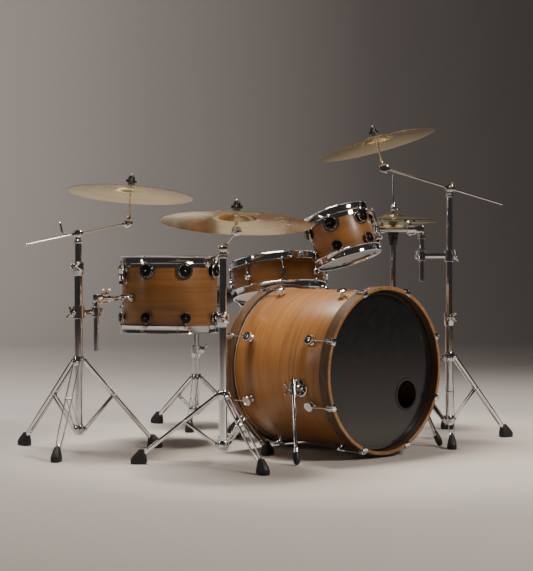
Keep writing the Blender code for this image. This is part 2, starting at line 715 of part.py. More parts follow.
def boom_stand(name, root, spec):
    """A cymbal stand: base, upper tube, boom arm, tilter and cymbal. Returns the upper tube's frame."""
    spot = spec["place"]
    stand_base(name, root, spot, spec["legs"], spec["reach"], spec["collar"], spec["low"],
               spec["tube_top"])
    flat = Vector((*spec["boom_way"], 0.0)).normalized()
    upper = frame(name + "_height", root, (*spot, spec["tube_top"]), ahead=flat)
    top = spec["pivot"] - spec["tube_top"]
    node(name + "_upper_tube", "chrome", upper, [
        tube(-UPPER_HIDDEN, top - HUB_RADIUS * 1.6, UPPER_TUBE),
        rod((0.0, 0.0, top - HUB_RADIUS * 2.4), (0.0, 0.0, top - HUB_RADIUS * 1.3), UPPER_TUBE + 0.002),
        block((0.0, 0.0, top - HUB_RADIUS * 0.9), (HUB_RADIUS * 1.3, HUB_THICK * 0.9, HUB_RADIUS * 1.6)),
        rod((0.0, -HUB_THICK / 2, top), (0.0, HUB_THICK / 2, top), HUB_RADIUS)])
    rise = math.radians(spec["rise"])
    along = flat * math.cos(rise) + Vector((0.0, 0.0, math.sin(rise)))
    boom = frame(name + "_boom_tilt", upper, (*spot, spec["pivot"]), up=tilted(along), ahead=along)
    line = HUB_THICK + GAP
    end = Vector((spec["boom"], line, 0.0))
    axis = Vector(spec["cymbal_axis"]).normalized()
    hinge = axis.cross(along).normalized()
    hinge_here = boom.matrix_basis.inverted().to_3x3() @ hinge
    node(name + "_boom_arm", "chrome", boom, [
        rod((0.0, line - HUB_THICK / 2, 0.0), (0.0, line + HUB_THICK / 2, 0.0), HUB_RADIUS),
        rod((-spec["tail"], line, 0.0), end, BOOM_ROD, 8),
        rod(end - hinge_here * HUB_THICK / 2, end + hinge_here * HUB_THICK / 2, HUB_RADIUS),
        rod((0.0, line, 0.0), (0.0, line + HUB_THICK * 1.6, 0.0), WING_ROD, 8),
        block((0.0, line + HUB_THICK * 1.4, WING_LENGTH / 3), (WING_ROD, WING_ROD, WING_LENGTH))])
    seat_place = boom.matrix_basis @ end - hinge * (HUB_THICK + GAP)
    seat = frame(name + "_cymbal_tilt", boom, seat_place, up=axis, ahead=along)
    cymbal_seat(name + "_cymbal_seat", seat, spec["rod"])
    rock = frame(spec["cymbal"] + "_rock", seat, seat_place + axis * spec["rod"], up=axis, ahead=along)
    cymbal(spec["cymbal"], rock, spec["radius"], spec["crown"])
    return upper


def tom_arm(name, parent, stand_place, bar_height, hang, axis, tom_radius, rod_out, rod_low,
            tube_radius):
    """The clamp on a stand's tube and the bent rod that it holds; returns the rod's frame."""
    away = Vector((hang.x - stand_place[0], hang.y - stand_place[1], 0.0))
    reach = away.length
    clamp = frame(name + "_swing", parent, (*stand_place, bar_height), ahead=away)
    ring = tube_radius + SLIDE + ARM_WALL
    small_ring = ARM_ROD + SLIDE + ARM_WALL
    node(name + "_clamp", "chrome", clamp, [
        rod((0.0, 0.0, -ARM_BAR), (0.0, 0.0, ARM_BAR), ring),
        block((rod_out / 2, 0.0, 0.0), (rod_out, ARM_BAR, ARM_BAR)),
        rod((rod_out, 0.0, -ARM_BAR * 0.8), (rod_out, 0.0, ARM_BAR * 0.8), small_ring)
    ], [
        bore((0.0, 0.0, -ARM_BAR * 2), (0.0, 0.0, ARM_BAR * 2), tube_radius),
        bore((rod_out, 0.0, -ARM_BAR * 2), (rod_out, 0.0, ARM_BAR * 2), ARM_ROD)])
    stem = frame(name + "_height", clamp, clamp.matrix_basis @ Vector((rod_out, 0.0, 0.0)),
                 ahead=away)
    elbow = hang.z - bar_height
    tip = reach - rod_out - bracket_distance(axis, away, tom_radius) - BRACKET_PLATE - BRACKET_ROOM
    node(name + "_rod", "chrome", stem, [
        rod((0.0, 0.0, rod_low - bar_height), (0.0, 0.0, elbow), ARM_ROD),
        ball((0.0, 0.0, elbow), ARM_ROD * 1.25),
        rod((0.0, 0.0, elbow), (tip, 0.0, elbow), ARM_ROD)])
    return stem


# ---------------------------------------------------------------- the other instruments

def hi_hat(root):
    """Stand, pull rod with clutch, footboard and the pair of hats."""
    base = frame("hi_hat_floor", root, (*HAT_PLACE, 0.0), ahead=(*HAT_FOOT_WAY, 0.0))
    low_hole = HAT_EDGE_HEIGHT - HAT_OPENING / 2 - HAT_CROWN
    high_hole = HAT_EDGE_HEIGHT + HAT_OPENING / 2 + HAT_CROWN
    cup_top = low_hole - CYMBAL_SHEET - GAP
    pieces = [
        rod((0.0, 0.0, PEDAL_PLATE / 2), (0.0, 0.0, HAT_LOWER_TOP), BASE_TUBE),
        rod((0.0, 0.0, HAT_LOWER_TOP - COLLAR_HEIGHT), (0.0, 0.0, HAT_LOWER_TOP + COLLAR_LIP),
            BASE_TUBE + COLLAR_WALL),
        rod((0.0, 0.0, HAT_LOWER_TOP - COLLAR_HEIGHT), (0.0, 0.0, cup_top), HAT_TUBE),
        rod((0.0, 0.0, HAT_CUP_LOW), (0.0, 0.0, cup_top), HAT_CUP),
        block((HAT_PLATE_LENGTH / 2, 0.0, PEDAL_PLATE / 2), (HAT_PLATE_LENGTH, PEDAL_WIDTH, PEDAL_PLATE)),
        block((HAT_PLATE_LENGTH - HEEL_LENGTH / 2, 0.0, HEEL_HEIGHT / 2),
              (HEEL_LENGTH, PEDAL_WIDTH, HEEL_HEIGHT))]
    pieces += tripod(HAT_LEGS, HAT_LEG_REACH, HAT_COLLAR, HAT_LOW_COLLAR)
    hole = bore((0.0, 0.0, HAT_ROD_LOW - 0.010), (0.0, 0.0, 1.0), HAT_ROD)
    node("hi_hat_base", "chrome", base, pieces, [hole])
    lower = frame("lower_hat_seat", root, (*HAT_PLACE, low_hole), up=(0.0, 0.0, -1.0))
    cymbal("hi_hat_bottom", lower, HAT_RADIUS, HAT_CROWN)
    pull = frame("hi_hat_pull", root, (*HAT_PLACE, 0.0))
    clutch_low = high_hole - CYMBAL_SHEET - GAP - CLUTCH_NUT
    node("hi_hat_pull_rod", "chrome", pull, [
        rod((0.0, 0.0, HAT_ROD_LOW), (0.0, 0.0, HAT_ROD_TOP), HAT_ROD, 10),
        rod((0.0, 0.0, clutch_low), (0.0, 0.0, clutch_low + CLUTCH_NUT), CLUTCH_RADIUS),
        rod((0.0, 0.0, high_hole + GAP), (0.0, 0.0, high_hole + GAP + CLUTCH_HEIGHT), CLUTCH_RADIUS)])
    top = frame("upper_hat_seat", pull, (*HAT_PLACE, high_hole))
    cymbal("hi_hat_top", top, HAT_RADIUS, HAT_CROWN)
    heel = HAT_PLATE_LENGTH - HEEL_LENGTH
    footboard("hi_hat_footboard", root, base.matrix_basis @ Vector((heel, 0.0, HINGE_HEIGHT)),
              HAT_FOOT_WAY, heel - HAT_TOE_ROOM)


def footboard(name, root, place, way, length):
    """A pedal's board, hinged at its heel; way points from the toe to the heel."""
    hinge = frame(name + "_hinge", root, place, ahead=(*way, 0.0))
    rise = math.tan(math.radians(FOOTBOARD_RISE)) * length
    toe = Vector((-length, 0.0, rise))
    start = toe.normalized() * HINGE_ROOM
    board = strip(start, toe, PEDAL_WIDTH * 0.82, PEDAL_PLATE, (0.0, 1.0, 0.0))
    return node(name, "chrome", hinge, [board])


def kick_pedal(root):
    """The bass drum pedal: frame, footboard and beater."""
    base = frame("pedal_floor", root, (0.0, PEDAL_FRONT, 0.0))
    half = PEDAL_WIDTH / 2
    post_y = AXLE_BACK
    pieces = [block((0.0, PEDAL_LENGTH / 2, PEDAL_PLATE / 2), (PEDAL_WIDTH, PEDAL_LENGTH, PEDAL_PLATE)),
              block((0.0, PEDAL_LENGTH - HEEL_LENGTH / 2, HEEL_HEIGHT / 2),
                    (PEDAL_WIDTH, HEEL_LENGTH, HEEL_HEIGHT))]
    for side in (-1, 1):
        pieces.append(strip((side * (half + POST_THICK / 2), post_y, 0.0),
                            (side * (half + POST_THICK / 2), post_y, AXLE_HEIGHT + POST_WIDTH / 2),
                            POST_THICK * 1.5, POST_WIDTH, (1.0, 0.0, 0.0)))
    hole = bore((-half * 2, post_y, AXLE_HEIGHT), (half * 2, post_y, AXLE_HEIGHT), AXLE_RADIUS)
    node("kick_pedal_frame", "chrome", base, pieces, [hole])
    axle = base.matrix_basis @ Vector((0.0, post_y, AXLE_HEIGHT))
    back = math.radians(BEATER_REST)
    swing = frame("kick_beater_swing", root, axle, up=(0.0, math.sin(back), math.cos(back)))
    head = BEATER_LENGTH
    node("kick_beater", "chrome", swing, [
        rod((-half - POST_THICK, 0.0, 0.0), (half + POST_THICK, 0.0, 0.0), AXLE_RADIUS),
        rod((0.0, 0.0, -AXLE_RADIUS * 2), (0.0, 0.0, head), AXLE_RADIUS * 0.7, 10),
        rod((0.0, -BEATER_RADIUS, head), (0.0, BEATER_RADIUS, head), BEATER_RADIUS, 16),
        rod((-AXLE_RADIUS * 3, 0.0, 0.0), (AXLE_RADIUS * 3, 0.0, 0.0), AXLE_RADIUS * 2.4)])
    heel = base.matrix_basis @ Vector((0.0, PEDAL_LENGTH - HEEL_LENGTH, HINGE_HEIGHT))
    footboard("kick_footboard", root, heel, (0.0, 1.0), PEDAL_LENGTH - HEEL_LENGTH - KICK_TOE_ROOM)


def snare(root):
    """The snare drum in its basket, on a stand."""
    axis = Vector(SNARE_AXIS).normalized()
    centre = Vector(SNARE_PLACE)
    half = SNARE_DEPTH / 2
    pivot = centre - axis * (half + HOOP_RISE + BASKET_DROP)
    spot = (pivot.x, pivot.y)
    stand_base("snare_stand", root, spot, SNARE_LEGS, SNARE_LEG_REACH, SNARE_COLLAR,
               SNARE_LOW_COLLAR, SNARE_TUBE_TOP)
    post = frame("snare_height", root, (*spot, SNARE_TUBE_TOP))
    top = pivot.z - SNARE_TUBE_TOP
    basket_axis = axis.cross(Vector((0.0, 0.0, 1.0))).normalized()
    tilt = frame("snare_tilt", post, pivot, up=axis, ahead=axis.cross(basket_axis))
    across = basket_axis * HUB_THICK
    node("snare_post", "chrome", post, [
        tube(-UPPER_HIDDEN, top - HUB_RADIUS * 1.2, UPPER_TUBE),
        rod((0.0, 0.0, top - HUB_RADIUS * 2.0), (0.0, 0.0, top - HUB_RADIUS * 1.1), UPPER_TUBE + 0.002),
        strip((0.0, 0.0, top - HUB_RADIUS * 1.5), (0.0, 0.0, top), HUB_THICK * 0.9, HUB_RADIUS * 1.3,
              basket_axis),
        rod(Vector((0.0, 0.0, top)) - across / 2, Vector((0.0, 0.0, top)) + across / 2, HUB_RADIUS)])
    rim = SNARE_RADIUS + GAP + HEAD_COLLAR + GAP
    under = BASKET_DROP - GAP
    outer = rim + HOOP_WALL + GAP * 4
    hub_start = HUB_THICK / 2 + GAP
    pieces = [
        rod((0.0, hub_start, 0.0), (0.0, hub_start + HUB_THICK, 0.0), HUB_RADIUS),
        strip((0.0, hub_start + HUB_THICK / 2, 0.0), (0.0, hub_start + HUB_THICK / 2, BASKET_HUB), 0.012,
              HUB_THICK * 0.8, (1.0, 0.0, 0.0)),
        rod((0.0, 0.0, BASKET_HUB), (0.0, 0.0, BASKET_HUB + 0.016), HUB_THICK * 1.6)]
    for angle in BASKET_ARMS:
        turn = Matrix.Rotation(math.radians(angle), 4, "Z")
        arm_end = Vector((outer + BASKET_ROD, 0.0, under - BASKET_ROD * 1.4))
        arm = [
            rod((0.0, 0.0, BASKET_HUB + 0.008), arm_end, BASKET_ROD, 8),
            block((outer - 0.002, 0.0, under - BASKET_ROD), (0.022, 0.014, BASKET_ROD * 2)),
            block((outer + BASKET_ROD, 0.0, under), (BASKET_ROD * 1.6, 0.014, FINGER_HEIGHT))]
        pieces += [moved(piece, turn) for piece in arm]
    node("snare_basket", "chrome", tilt, pieces)
    drum = frame("snare_axis", tilt, centre, up=axis)
    angles = lug_angles(SNARE_LUGS, SNARE_LUG_TURN)
    lever_turn = Matrix.Rotation(math.radians(STRAINER_ANGLE), 4, "Z")
    housing = block((SNARE_RADIUS + GAP + HOUSING_DEPTH / 2, 0.0, HOUSING_LOW + HOUSING_HEIGHT / 2),
                    (HOUSING_DEPTH, LEVER_WIDTH * 1.5, HOUSING_HEIGHT))
    drum_shell("snare_shell", drum, SNARE_RADIUS, SNARE_DEPTH, TOM_WALL, TOM_STEPS)
    drum_head("snare_batter_head", "white_skin", drum, SNARE_RADIUS, SNARE_DEPTH, 1, TOM_STEPS)
    drum_head("snare_resonant_head", "white_skin", drum, SNARE_RADIUS, SNARE_DEPTH, -1, TOM_STEPS)
    metal_hoop("snare_top_hoop", drum, SNARE_RADIUS, SNARE_DEPTH, 1, angles, SNARE_LUG_RADIUS,
               SNARE_LUG_HEIGHT, TOM_STEPS)
    metal_hoop("snare_bottom_hoop", drum, SNARE_RADIUS, SNARE_DEPTH, -1,
               [-angle for angle in angles], 0.0, SNARE_TAIL_HEIGHT, TOM_STEPS,
               [moved(housing, lever_turn)])
    lever_place = drum.matrix_basis @ lever_turn @ Vector((SNARE_RADIUS + LEVER_OUT, 0.0, LEVER_LOW))
    outward = drum.matrix_basis.to_3x3() @ lever_turn.to_3x3() @ Vector((1.0, 0.0, 0.0))
    lever = frame("snare_lever_hinge", drum, lever_place, up=axis, ahead=outward)
    node("snare_lever", "chrome", lever, [
        rod((0.0, -LEVER_WIDTH / 2, 0.0), (0.0, LEVER_WIDTH / 2, 0.0), LEVER_HUB),
        strip((0.0, 0.0, 0.0), (0.0, 0.0, LEVER_LENGTH), LEVER_WIDTH, LEVER_HUB * 0.8, (0.0, 1.0, 0.0))])


def throne(root):
    """Tripod, post and round padded seat."""
    stand_base("throne", root, THRONE_PLACE, THRONE_LEGS, THRONE_LEG_REACH, THRONE_COLLAR,
               THRONE_LOW_COLLAR, THRONE_TUBE_TOP)
    post = frame("throne_height", root, (*THRONE_PLACE, THRONE_TUBE_TOP))
    under = SEAT_TOP - SEAT_THICK - THRONE_TUBE_TOP
    node("throne_post", "chrome", post, [
        tube(-UPPER_HIDDEN, under - GAP, UPPER_TUBE),
        rod((0.0, 0.0, under - GAP - 0.014), (0.0, 0.0, under - GAP), SEAT_PLATE)])
    spin = frame("throne_spin", post, (*THRONE_PLACE, SEAT_TOP - SEAT_THICK))
    soft = SEAT_THICK * 0.3
    profile = [(0.0, SEAT_THICK), (SEAT_RADIUS - soft, SEAT_THICK), (SEAT_RADIUS - soft * 0.3,
               SEAT_THICK - soft * 0.3), (SEAT_RADIUS, SEAT_THICK - soft), (SEAT_RADIUS, soft),
               (SEAT_RADIUS - soft, 0.0), (0.0, 0.0)]
    turned_node("throne_seat", "seat_vinyl", spin, profile, TOM_STEPS, closed=False)


LEFT_STAND = {
    "place": (-0.666, 0.629), "legs": (97.1, 217.1, 337.1), "reach": 0.315, "collar": 0.328,
    "low": 0.081, "tube_top": 0.680, "pivot": 0.785, "boom_way": (0.90, -0.43), "rise": 12.0,
    "boom": 0.190, "tail": 0.190, "rod": 0.138, "cymbal": "left_crash",
    "cymbal_axis": (0.128, 0.040, 0.99), "radius": CRASH_RADIUS, "crown": CRASH_CROWN}
RIDE_STAND = {
    "place": (-WOOD_HOOP_RADIUS - 0.231, 0.011), "legs": (134.2, 254.2, 14.2), "reach": 0.315,
    "collar": 0.236, "low": 0.066, "tube_top": 0.511, "pivot": 0.733,
    "boom_way": (0.718, -0.695), "rise": 52.0, "boom": 0.075, "tail": 0.045, "rod": 0.064, "cymbal": "ride",
    "cymbal_axis": (0.125, 0.072, 0.99), "radius": RIDE_RADIUS, "crown": RIDE_CROWN}
RIGHT_STAND = {
    "place": (WOOD_HOOP_RADIUS + 0.257, -0.088), "legs": (-138.0, -18.0, 102.0), "reach": 0.290,
    "collar": 0.321, "low": 0.081, "tube_top": 0.485, "pivot": RACK_TOM_PLACE[2] + 0.182,
    "boom_way": (-0.718, 0.695), "rise": 17.0,
    "boom": 0.262, "tail": 0.208, "rod": 0.128, "cymbal": "right_crash",
    "cymbal_axis": (-0.124, 0.231, 0.965), "radius": CRASH_RADIUS, "crown": CRASH_CROWN}


def main():
    """Build every instrument, then centre the kit's footprint on the origin."""
    root = frame("kit_root", None, (0.0, 0.0, 0.0))
    bass_drum(root)
    kick_pedal(root)
    boom_stand("left_stand", root, LEFT_STAND)
    boom_stand("ride_stand", root, RIDE_STAND)
    right_upper = boom_stand("right_stand", root, RIGHT_STAND)
    floor_hang = Vector(FLOOR_TOM_PLACE) + Vector(FLOOR_TOM_AXIS).normalized() * FLOOR_HANG
    floor_stem = tom_arm("floor_tom_arm", root, LEFT_STAND["place"], FLOOR_BAR_HEIGHT, floor_hang,
                         FLOOR_TOM_AXIS, FLOOR_TOM_RADIUS, FLOOR_ROD_OUT, FLOOR_ROD_LOW, BASE_TUBE)
    tom("floor_tom", floor_stem, "floor_tom_tilt", FLOOR_TOM_PLACE, FLOOR_TOM_AXIS,
        LEFT_STAND["place"], FLOOR_TOM_RADIUS, FLOOR_TOM_DEPTH,
        lug_angles(TOM_LUGS, FLOOR_LUG_TURN), FLOOR_LUG_DROPS, FLOOR_HANG)
    rack_hang = Vector(RACK_TOM_PLACE) + Vector(RACK_TOM_AXIS).normalized() * RACK_HANG
    rack_stem = tom_arm("rack_tom_arm", right_upper, RIGHT_STAND["place"], RACK_BAR_HEIGHT, rack_hang,
                        RACK_TOM_AXIS, RACK_TOM_RADIUS, RACK_ROD_OUT, RACK_ROD_LOW, UPPER_TUBE)
    tom("rack_tom", rack_stem, "rack_tom_tilt", RACK_TOM_PLACE, RACK_TOM_AXIS,
        RIGHT_STAND["place"], RACK_TOM_RADIUS, RACK_TOM_DEPTH,
        lug_angles(RACK_LUGS, RACK_LUG_TURN), RACK_LUG_DROPS, RACK_HANG)
    snare(root)
    hi_hat(root)
    throne(root)
    centre_kit(root)


def centre_kit(root):
    """Move the whole kit so that its box stands centred over the origin."""
    bpy.context.view_layer.update()
    graph = bpy.context.evaluated_depsgraph_get()
    corners = []
    for thing in KIT.objects:
        if thing.type == "MESH":
            mesh = thing.evaluated_get(graph).to_mesh()
            corners += [thing.matrix_world @ vertex.co for vertex in mesh.vertices]
    low = Vector(min(corner[axis] for corner in corners) for axis in range(3))
    high = Vector(max(corner[axis] for corner in corners) for axis in range(3))
    root.location = (-(low.x + high.x) / 2, -(low.y + high.y) / 2, 0.0)
    bpy.context.view_layer.update()


main()
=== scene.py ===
"""Looks of the drum kit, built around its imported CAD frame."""
import json
import math

import bmesh
import bpy
from mathutils import Matrix, Vector


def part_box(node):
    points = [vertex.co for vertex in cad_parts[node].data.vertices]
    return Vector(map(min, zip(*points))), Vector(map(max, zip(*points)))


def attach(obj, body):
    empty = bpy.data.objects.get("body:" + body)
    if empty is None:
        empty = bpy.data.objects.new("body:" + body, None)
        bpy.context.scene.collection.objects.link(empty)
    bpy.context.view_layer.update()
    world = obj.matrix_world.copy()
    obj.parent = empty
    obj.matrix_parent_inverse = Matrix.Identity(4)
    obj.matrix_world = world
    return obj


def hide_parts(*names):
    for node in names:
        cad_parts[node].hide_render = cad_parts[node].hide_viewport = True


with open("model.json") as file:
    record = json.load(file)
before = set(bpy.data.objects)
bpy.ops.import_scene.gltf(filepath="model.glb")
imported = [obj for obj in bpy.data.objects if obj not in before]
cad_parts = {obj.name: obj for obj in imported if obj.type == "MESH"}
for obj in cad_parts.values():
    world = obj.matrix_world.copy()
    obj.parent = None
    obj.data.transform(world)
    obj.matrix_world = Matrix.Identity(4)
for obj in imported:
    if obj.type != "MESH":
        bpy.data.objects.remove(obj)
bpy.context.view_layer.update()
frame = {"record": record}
BODY = {node: body for body, nodes in frame["record"]["behaviour"]["bodies"].items() for node in nodes}
low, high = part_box("bass_shell")
ORIGIN = Vector(((low.x + high.x) / 2, (low.y + high.y) / 2, 0.0))
X, Y, Z = Vector((1, 0, 0)), Vector((0, 1, 0)), Vector((0, 0, 1))

# sizes shared with the CAD
BASS_R, BASS_D, BASS_Z = 0.2795, 0.457, 0.305
HOOP_R, HOOP_RISE, HOOP_DEPTH = 0.295, 0.032, 0.045
UPPER_TUBE, BASE_TUBE = 0.0118, 0.0145
HUB_W, GAP = 0.012, 0.0003
SHEET = 0.0014
POST_Z = 0.33   # top of the snare's and the throne's lower tubes

# the photo's camera: focal length and image height in pixels, place from ORIGIN, level heading and dip
FOCAL_PIXELS, IMAGE_HEIGHT = 1600.0, 571.0
EYE, EYE_DIP = (-4.187, -3.983, 0.731), math.radians(1.31)
AHEAD, ASIDE = Vector((0.6955, 0.7185, 0)), Vector((0.7185, -0.6955, 0))


# ------------------------------------------------------------------ materials

class Paint:
    """A new material and its shader, with helpers that make nodes and join them."""

    def __init__(self, name, **sockets):
        self.mat = bpy.data.materials.new(name)
        self.mat.use_nodes = True
        self.tree = self.mat.node_tree
        self.link = self.tree.links.new
        self.shader = self.tree.nodes["Principled BSDF"]
        for key, value in sockets.items():
            self.shader.inputs[key.replace("_", " ")].default_value = value

    def add(self, kind, **settings):
        new = self.tree.nodes.new("ShaderNode" + kind)
        for key, value in settings.items():
            if key in new.inputs:
                new.inputs[key].default_value = value
            else:
                setattr(new, key, value)
        return new

    def ramp(self, source, stops, target=None):
        """Colours at (place, colour) stops along a value, led to a socket of the shader if one is named."""
        new = self.add("ValToRGB")
        band = new.color_ramp
        while len(band.elements) > 1:
            band.elements.remove(band.elements[-1])
        band.elements[0].position, band.elements[0].color = stops[0][0], (*stops[0][1], 1)
        for place, colour in stops[1:]:
            band.elements.new(place).color = (*colour, 1)
        self.link(source, new.inputs["Fac"])
        if target:
            self.link(new.outputs["Color"], self.shader.inputs[target])
        return new.outputs["Color"]

    def noise(self, scale=(1, 1, 1), **settings):
        """Noise over the object's own coordinates, scaled by axis."""
        mapping, new = self.add("Mapping", Scale=scale), self.add("TexNoise", **settings)
        self.link(self.add("TexCoord").outputs["Object"], mapping.inputs["Vector"])
        self.link(mapping.outputs["Vector"], new.inputs["Vector"])
        return new.outputs["Fac"]

    def mix(self, blend, factor, first, second):
        """Two colours mixed into the base colour, by a number or by a socket."""
        new = self.add("Mix", data_type="RGBA", blend_type=blend)
        if isinstance(factor, float):
            new.inputs["Factor"].default_value = factor
        else:
            self.link(factor, new.inputs["Factor"])
        self.link(first, new.inputs[6])
        self.link(second, new.inputs[7])
        self.link(new.outputs[2], self.shader.inputs["Base Color"])

    def relief(self, height, strength, distance):
        bump = self.add("Bump", Strength=strength, Distance=distance)
        self.link(height, bump.inputs["Height"])
        self.link(bump.outputs["Normal"], self.shader.inputs["Normal"])


def grey(value):
    return (value, value, value)


def wood(name, dark, middle, light, slow, fine, rough, coat, bump):
    """Lacquered wood: grain runs round the drum, so it changes fast along the axis and slowly round it."""
    paint = Paint(name, Coat_Weight=coat, Coat_Roughness=0.16)
    figure = paint.noise(slow, Scale=2.2, Detail=5.0, Roughness=0.62, Distortion=0.5)
    streak = paint.noise(fine, Scale=3.0, Detail=8.0, Roughness=0.7, Distortion=0.2)
    tone = paint.ramp(figure, [(0.3, dark), (0.5, middle), (0.72, light)])
    lines = paint.ramp(streak, [(0.33, grey(0.42)), (0.46, grey(0.86)), (0.62, grey(1.0)), (0.8, grey(0.9))])
    paint.mix("MULTIPLY", 0.75, tone, lines)
    paint.ramp(streak, [(0.3, grey(rough * 1.25)), (0.7, grey(rough * 0.85))], "Roughness")
    paint.relief(streak, bump, 0.0006)
    return paint.mat


def metal(name, colour, rough, spread=0.05, scale=60.0, bump=0.0):
    """Plated metal with faint smears in its polish."""
    paint = Paint(name, Metallic=1.0)
    smear = paint.noise(Scale=scale, Detail=4.0, Roughness=0.6)
    paint.ramp(smear, [(0.3, tuple(c * 0.93 for c in colour)), (0.7, colour)], "Base Color")
    paint.ramp(smear, [(0.3, grey(rough)), (0.75, grey(rough + spread))], "Roughness")
    if bump:
        paint.relief(smear, bump, 0.0004)
    return paint.mat


def bronze(name):
    """Lathed cymbal bronze: fine rings round the bell, with faint stains."""
    paint = Paint(name, Metallic=1.0)
    split, flat = paint.add("SeparateXYZ"), paint.add("CombineXYZ")
    reach = paint.add("VectorMath", operation="LENGTH")
    paint.link(paint.add("TexCoord").outputs["Object"], split.inputs[0])
    for axis in "XY":
        paint.link(split.outputs[axis], flat.inputs[axis])
    paint.link(flat.outputs[0], reach.inputs[0])
    rings = paint.add("TexNoise", noise_dimensions="1D", Scale=420.0, Detail=6.0, Roughness=0.75)
    broad = paint.add("TexNoise", noise_dimensions="1D", Scale=34.0, Detail=2.0)
    blend = paint.add("Mix", data_type="FLOAT", Factor=0.5)
    for bands, socket in ((rings, 2), (broad, 3)):
        paint.link(reach.outputs["Value"], bands.inputs["W"])
        paint.link(bands.outputs["Fac"], blend.inputs[socket])
    tone = paint.ramp(blend.outputs[0], [(0.3, (0.5, 0.4, 0.2)), (0.5, (0.62, 0.5, 0.265)),
        (0.72, (0.7, 0.58, 0.33))])
    stain = paint.noise(Scale=9.0, Detail=5.0, Roughness=0.6)
    paint.mix("MULTIPLY", 0.6, tone, paint.ramp(stain, [(0.35, (0.93, 0.91, 0.88)), (0.6, grey(1.0))]))
    paint.ramp(stain, [(0.3, grey(0.2)), (0.7, grey(0.26))], "Roughness")
    paint.relief(rings.outputs["Fac"], 0.05, 0.0003)
    return paint.mat


def plain(name, dark, light, rough, scale, bump, coat=0.0, sheen=0.0):
    """Rubber, felt, vinyl, film or moulded plastic: two close tones, and a relief from fine noise."""
    paint = Paint(name, Coat_Weight=coat, Coat_Roughness=0.08, Sheen_Weight=sheen)
    speck = paint.noise(Scale=scale, Detail=5.0, Roughness=0.65)
    paint.ramp(speck, [(0.35, dark), (0.65, light)], "Base Color")
    paint.ramp(speck, [(0.3, grey(rough * 0.88)), (0.7, grey(min(1.0, rough * 1.12)))], "Roughness")
    paint.relief(speck, bump, 0.0005)
    return paint.mat


HONEY = wood("honey_wood", (0.235, 0.095, 0.024), (0.31, 0.132, 0.034), (0.385, 0.175, 0.05),
    (1.3, 1.3, 22.0), (3.0, 3.0, 420.0), 0.4, 0.14, 0.1)
HOOPWOOD = wood("hoop_wood", (0.045, 0.019, 0.007), (0.085, 0.038, 0.014), (0.15, 0.072, 0.028),
    (9.0, 9.0, 90.0), (40.0, 40.0, 260.0), 0.46, 0.12, 0.6)
EDGEWOOD = wood("hoop_edge_wood", (0.22, 0.1, 0.036), (0.34, 0.165, 0.06), (0.46, 0.24, 0.095),
    (9.0, 9.0, 60.0), (40.0, 40.0, 300.0), 0.36, 0.3, 0.3)
PLY = wood("inner_ply", (0.3, 0.17, 0.08), (0.42, 0.26, 0.13), (0.52, 0.34, 0.19), (3.0, 3.0, 24.0),
    (9.0, 9.0, 160.0), 0.55, 0.0, 0.2)
CHROME = metal("chrome", (0.82, 0.82, 0.84), 0.045)
SATIN = metal("satin_steel", (0.62, 0.62, 0.64), 0.24, 0.1, 90.0, 0.1)
DARK = metal("black_nickel", (0.04, 0.039, 0.041), 0.24, 0.1, 120.0, 0.1)
BRONZE = bronze("bronze")
RIM = metal("bronze_rim", (0.2, 0.145, 0.075), 0.35, 0.1, 80.0)
BLACKSKIN = plain("black_skin", (0.009, 0.009, 0.01), (0.014, 0.014, 0.015), 0.17, 30.0, 0.02, coat=0.2)
WHITESKIN = plain("white_skin", (0.74, 0.73, 0.7), (0.83, 0.82, 0.79), 0.62, 420.0, 0.25)
RUBBER = plain("rubber", (0.011, 0.011, 0.012), (0.024, 0.024, 0.025), 0.52, 220.0, 0.35)
FELT = plain("felt", (0.012, 0.012, 0.013), (0.045, 0.044, 0.043), 0.95, 900.0, 0.9, sheen=0.5)
PLASTIC = plain("black_plastic", (0.012, 0.012, 0.013), (0.02, 0.02, 0.021), 0.36, 160.0, 0.1)
VINYL = plain("seat_vinyl", (0.013, 0.013, 0.014), (0.024, 0.024, 0.026), 0.46, 520.0, 0.55, coat=0.08)
PIPING = plain("seat_piping", (0.018, 0.018, 0.019), (0.032, 0.032, 0.034), 0.4, 400.0, 0.3)
GRIP = plain("pale_felt", (0.52, 0.5, 0.46), (0.72, 0.7, 0.65), 0.95, 900.0, 0.9, sheen=0.4)


# ------------------------------------------------------------------ pieces

def axes(place, up=(0, 0, 1), ahead=(1, 0, 0)):
    """The frame at a place: local Z along up, local X as near to ahead as it can be."""
    z_axis = Vector(up).normalized()
    y_axis = z_axis.cross(Vector(ahead)).normalized()
    matrix = Matrix((y_axis.cross(z_axis), y_axis, z_axis)).transposed().to_4x4()
    matrix.translation = Vector(place)
    return matrix


def spoke(radius, angle, height=0.0):
    turn = math.radians(angle)
    return Vector((radius * math.cos(turn), radius * math.sin(turn), height))


def turned(angle):
    return Matrix.Rotation(math.radians(angle), 4, "Z")


def closed_up(piece):
    bmesh.ops.recalc_face_normals(piece, faces=piece.faces)
    return piece


def lathe(profile, steps=48, closed=False):
    """The (radius, height) profile turned about Z."""
    piece = bmesh.new()
    rings = []
    for radius, height in profile:
        if radius < 1e-6:
            rings.append([piece.verts.new((0, 0, height))])
        else:
            rings.append([piece.verts.new(spoke(radius, 360.0 * k / steps, height)) for k in range(steps)])
    pairs = list(zip(rings, rings[1:]))
    if closed:
        pairs.append((rings[-1], rings[0]))
    for first, second in pairs:
        for k in range(steps):
            a, b = first[k % len(first)], first[(k + 1) % len(first)]
            c, d = second[(k + 1) % len(second)], second[k % len(second)]
            corners = [v for i, v in enumerate((a, b, c, d)) if v not in (a, b, c, d)[:i]]
            if len(corners) > 2:
                piece.faces.new(corners)
    return closed_up(piece)


def mm(*values, at=(0, 0)):
    """Points in metres from pairs of millimetres, counted from at."""
    return [(at[0] + a / 1000, at[1] + b / 1000) for a, b in zip(values[::2], values[1::2])]


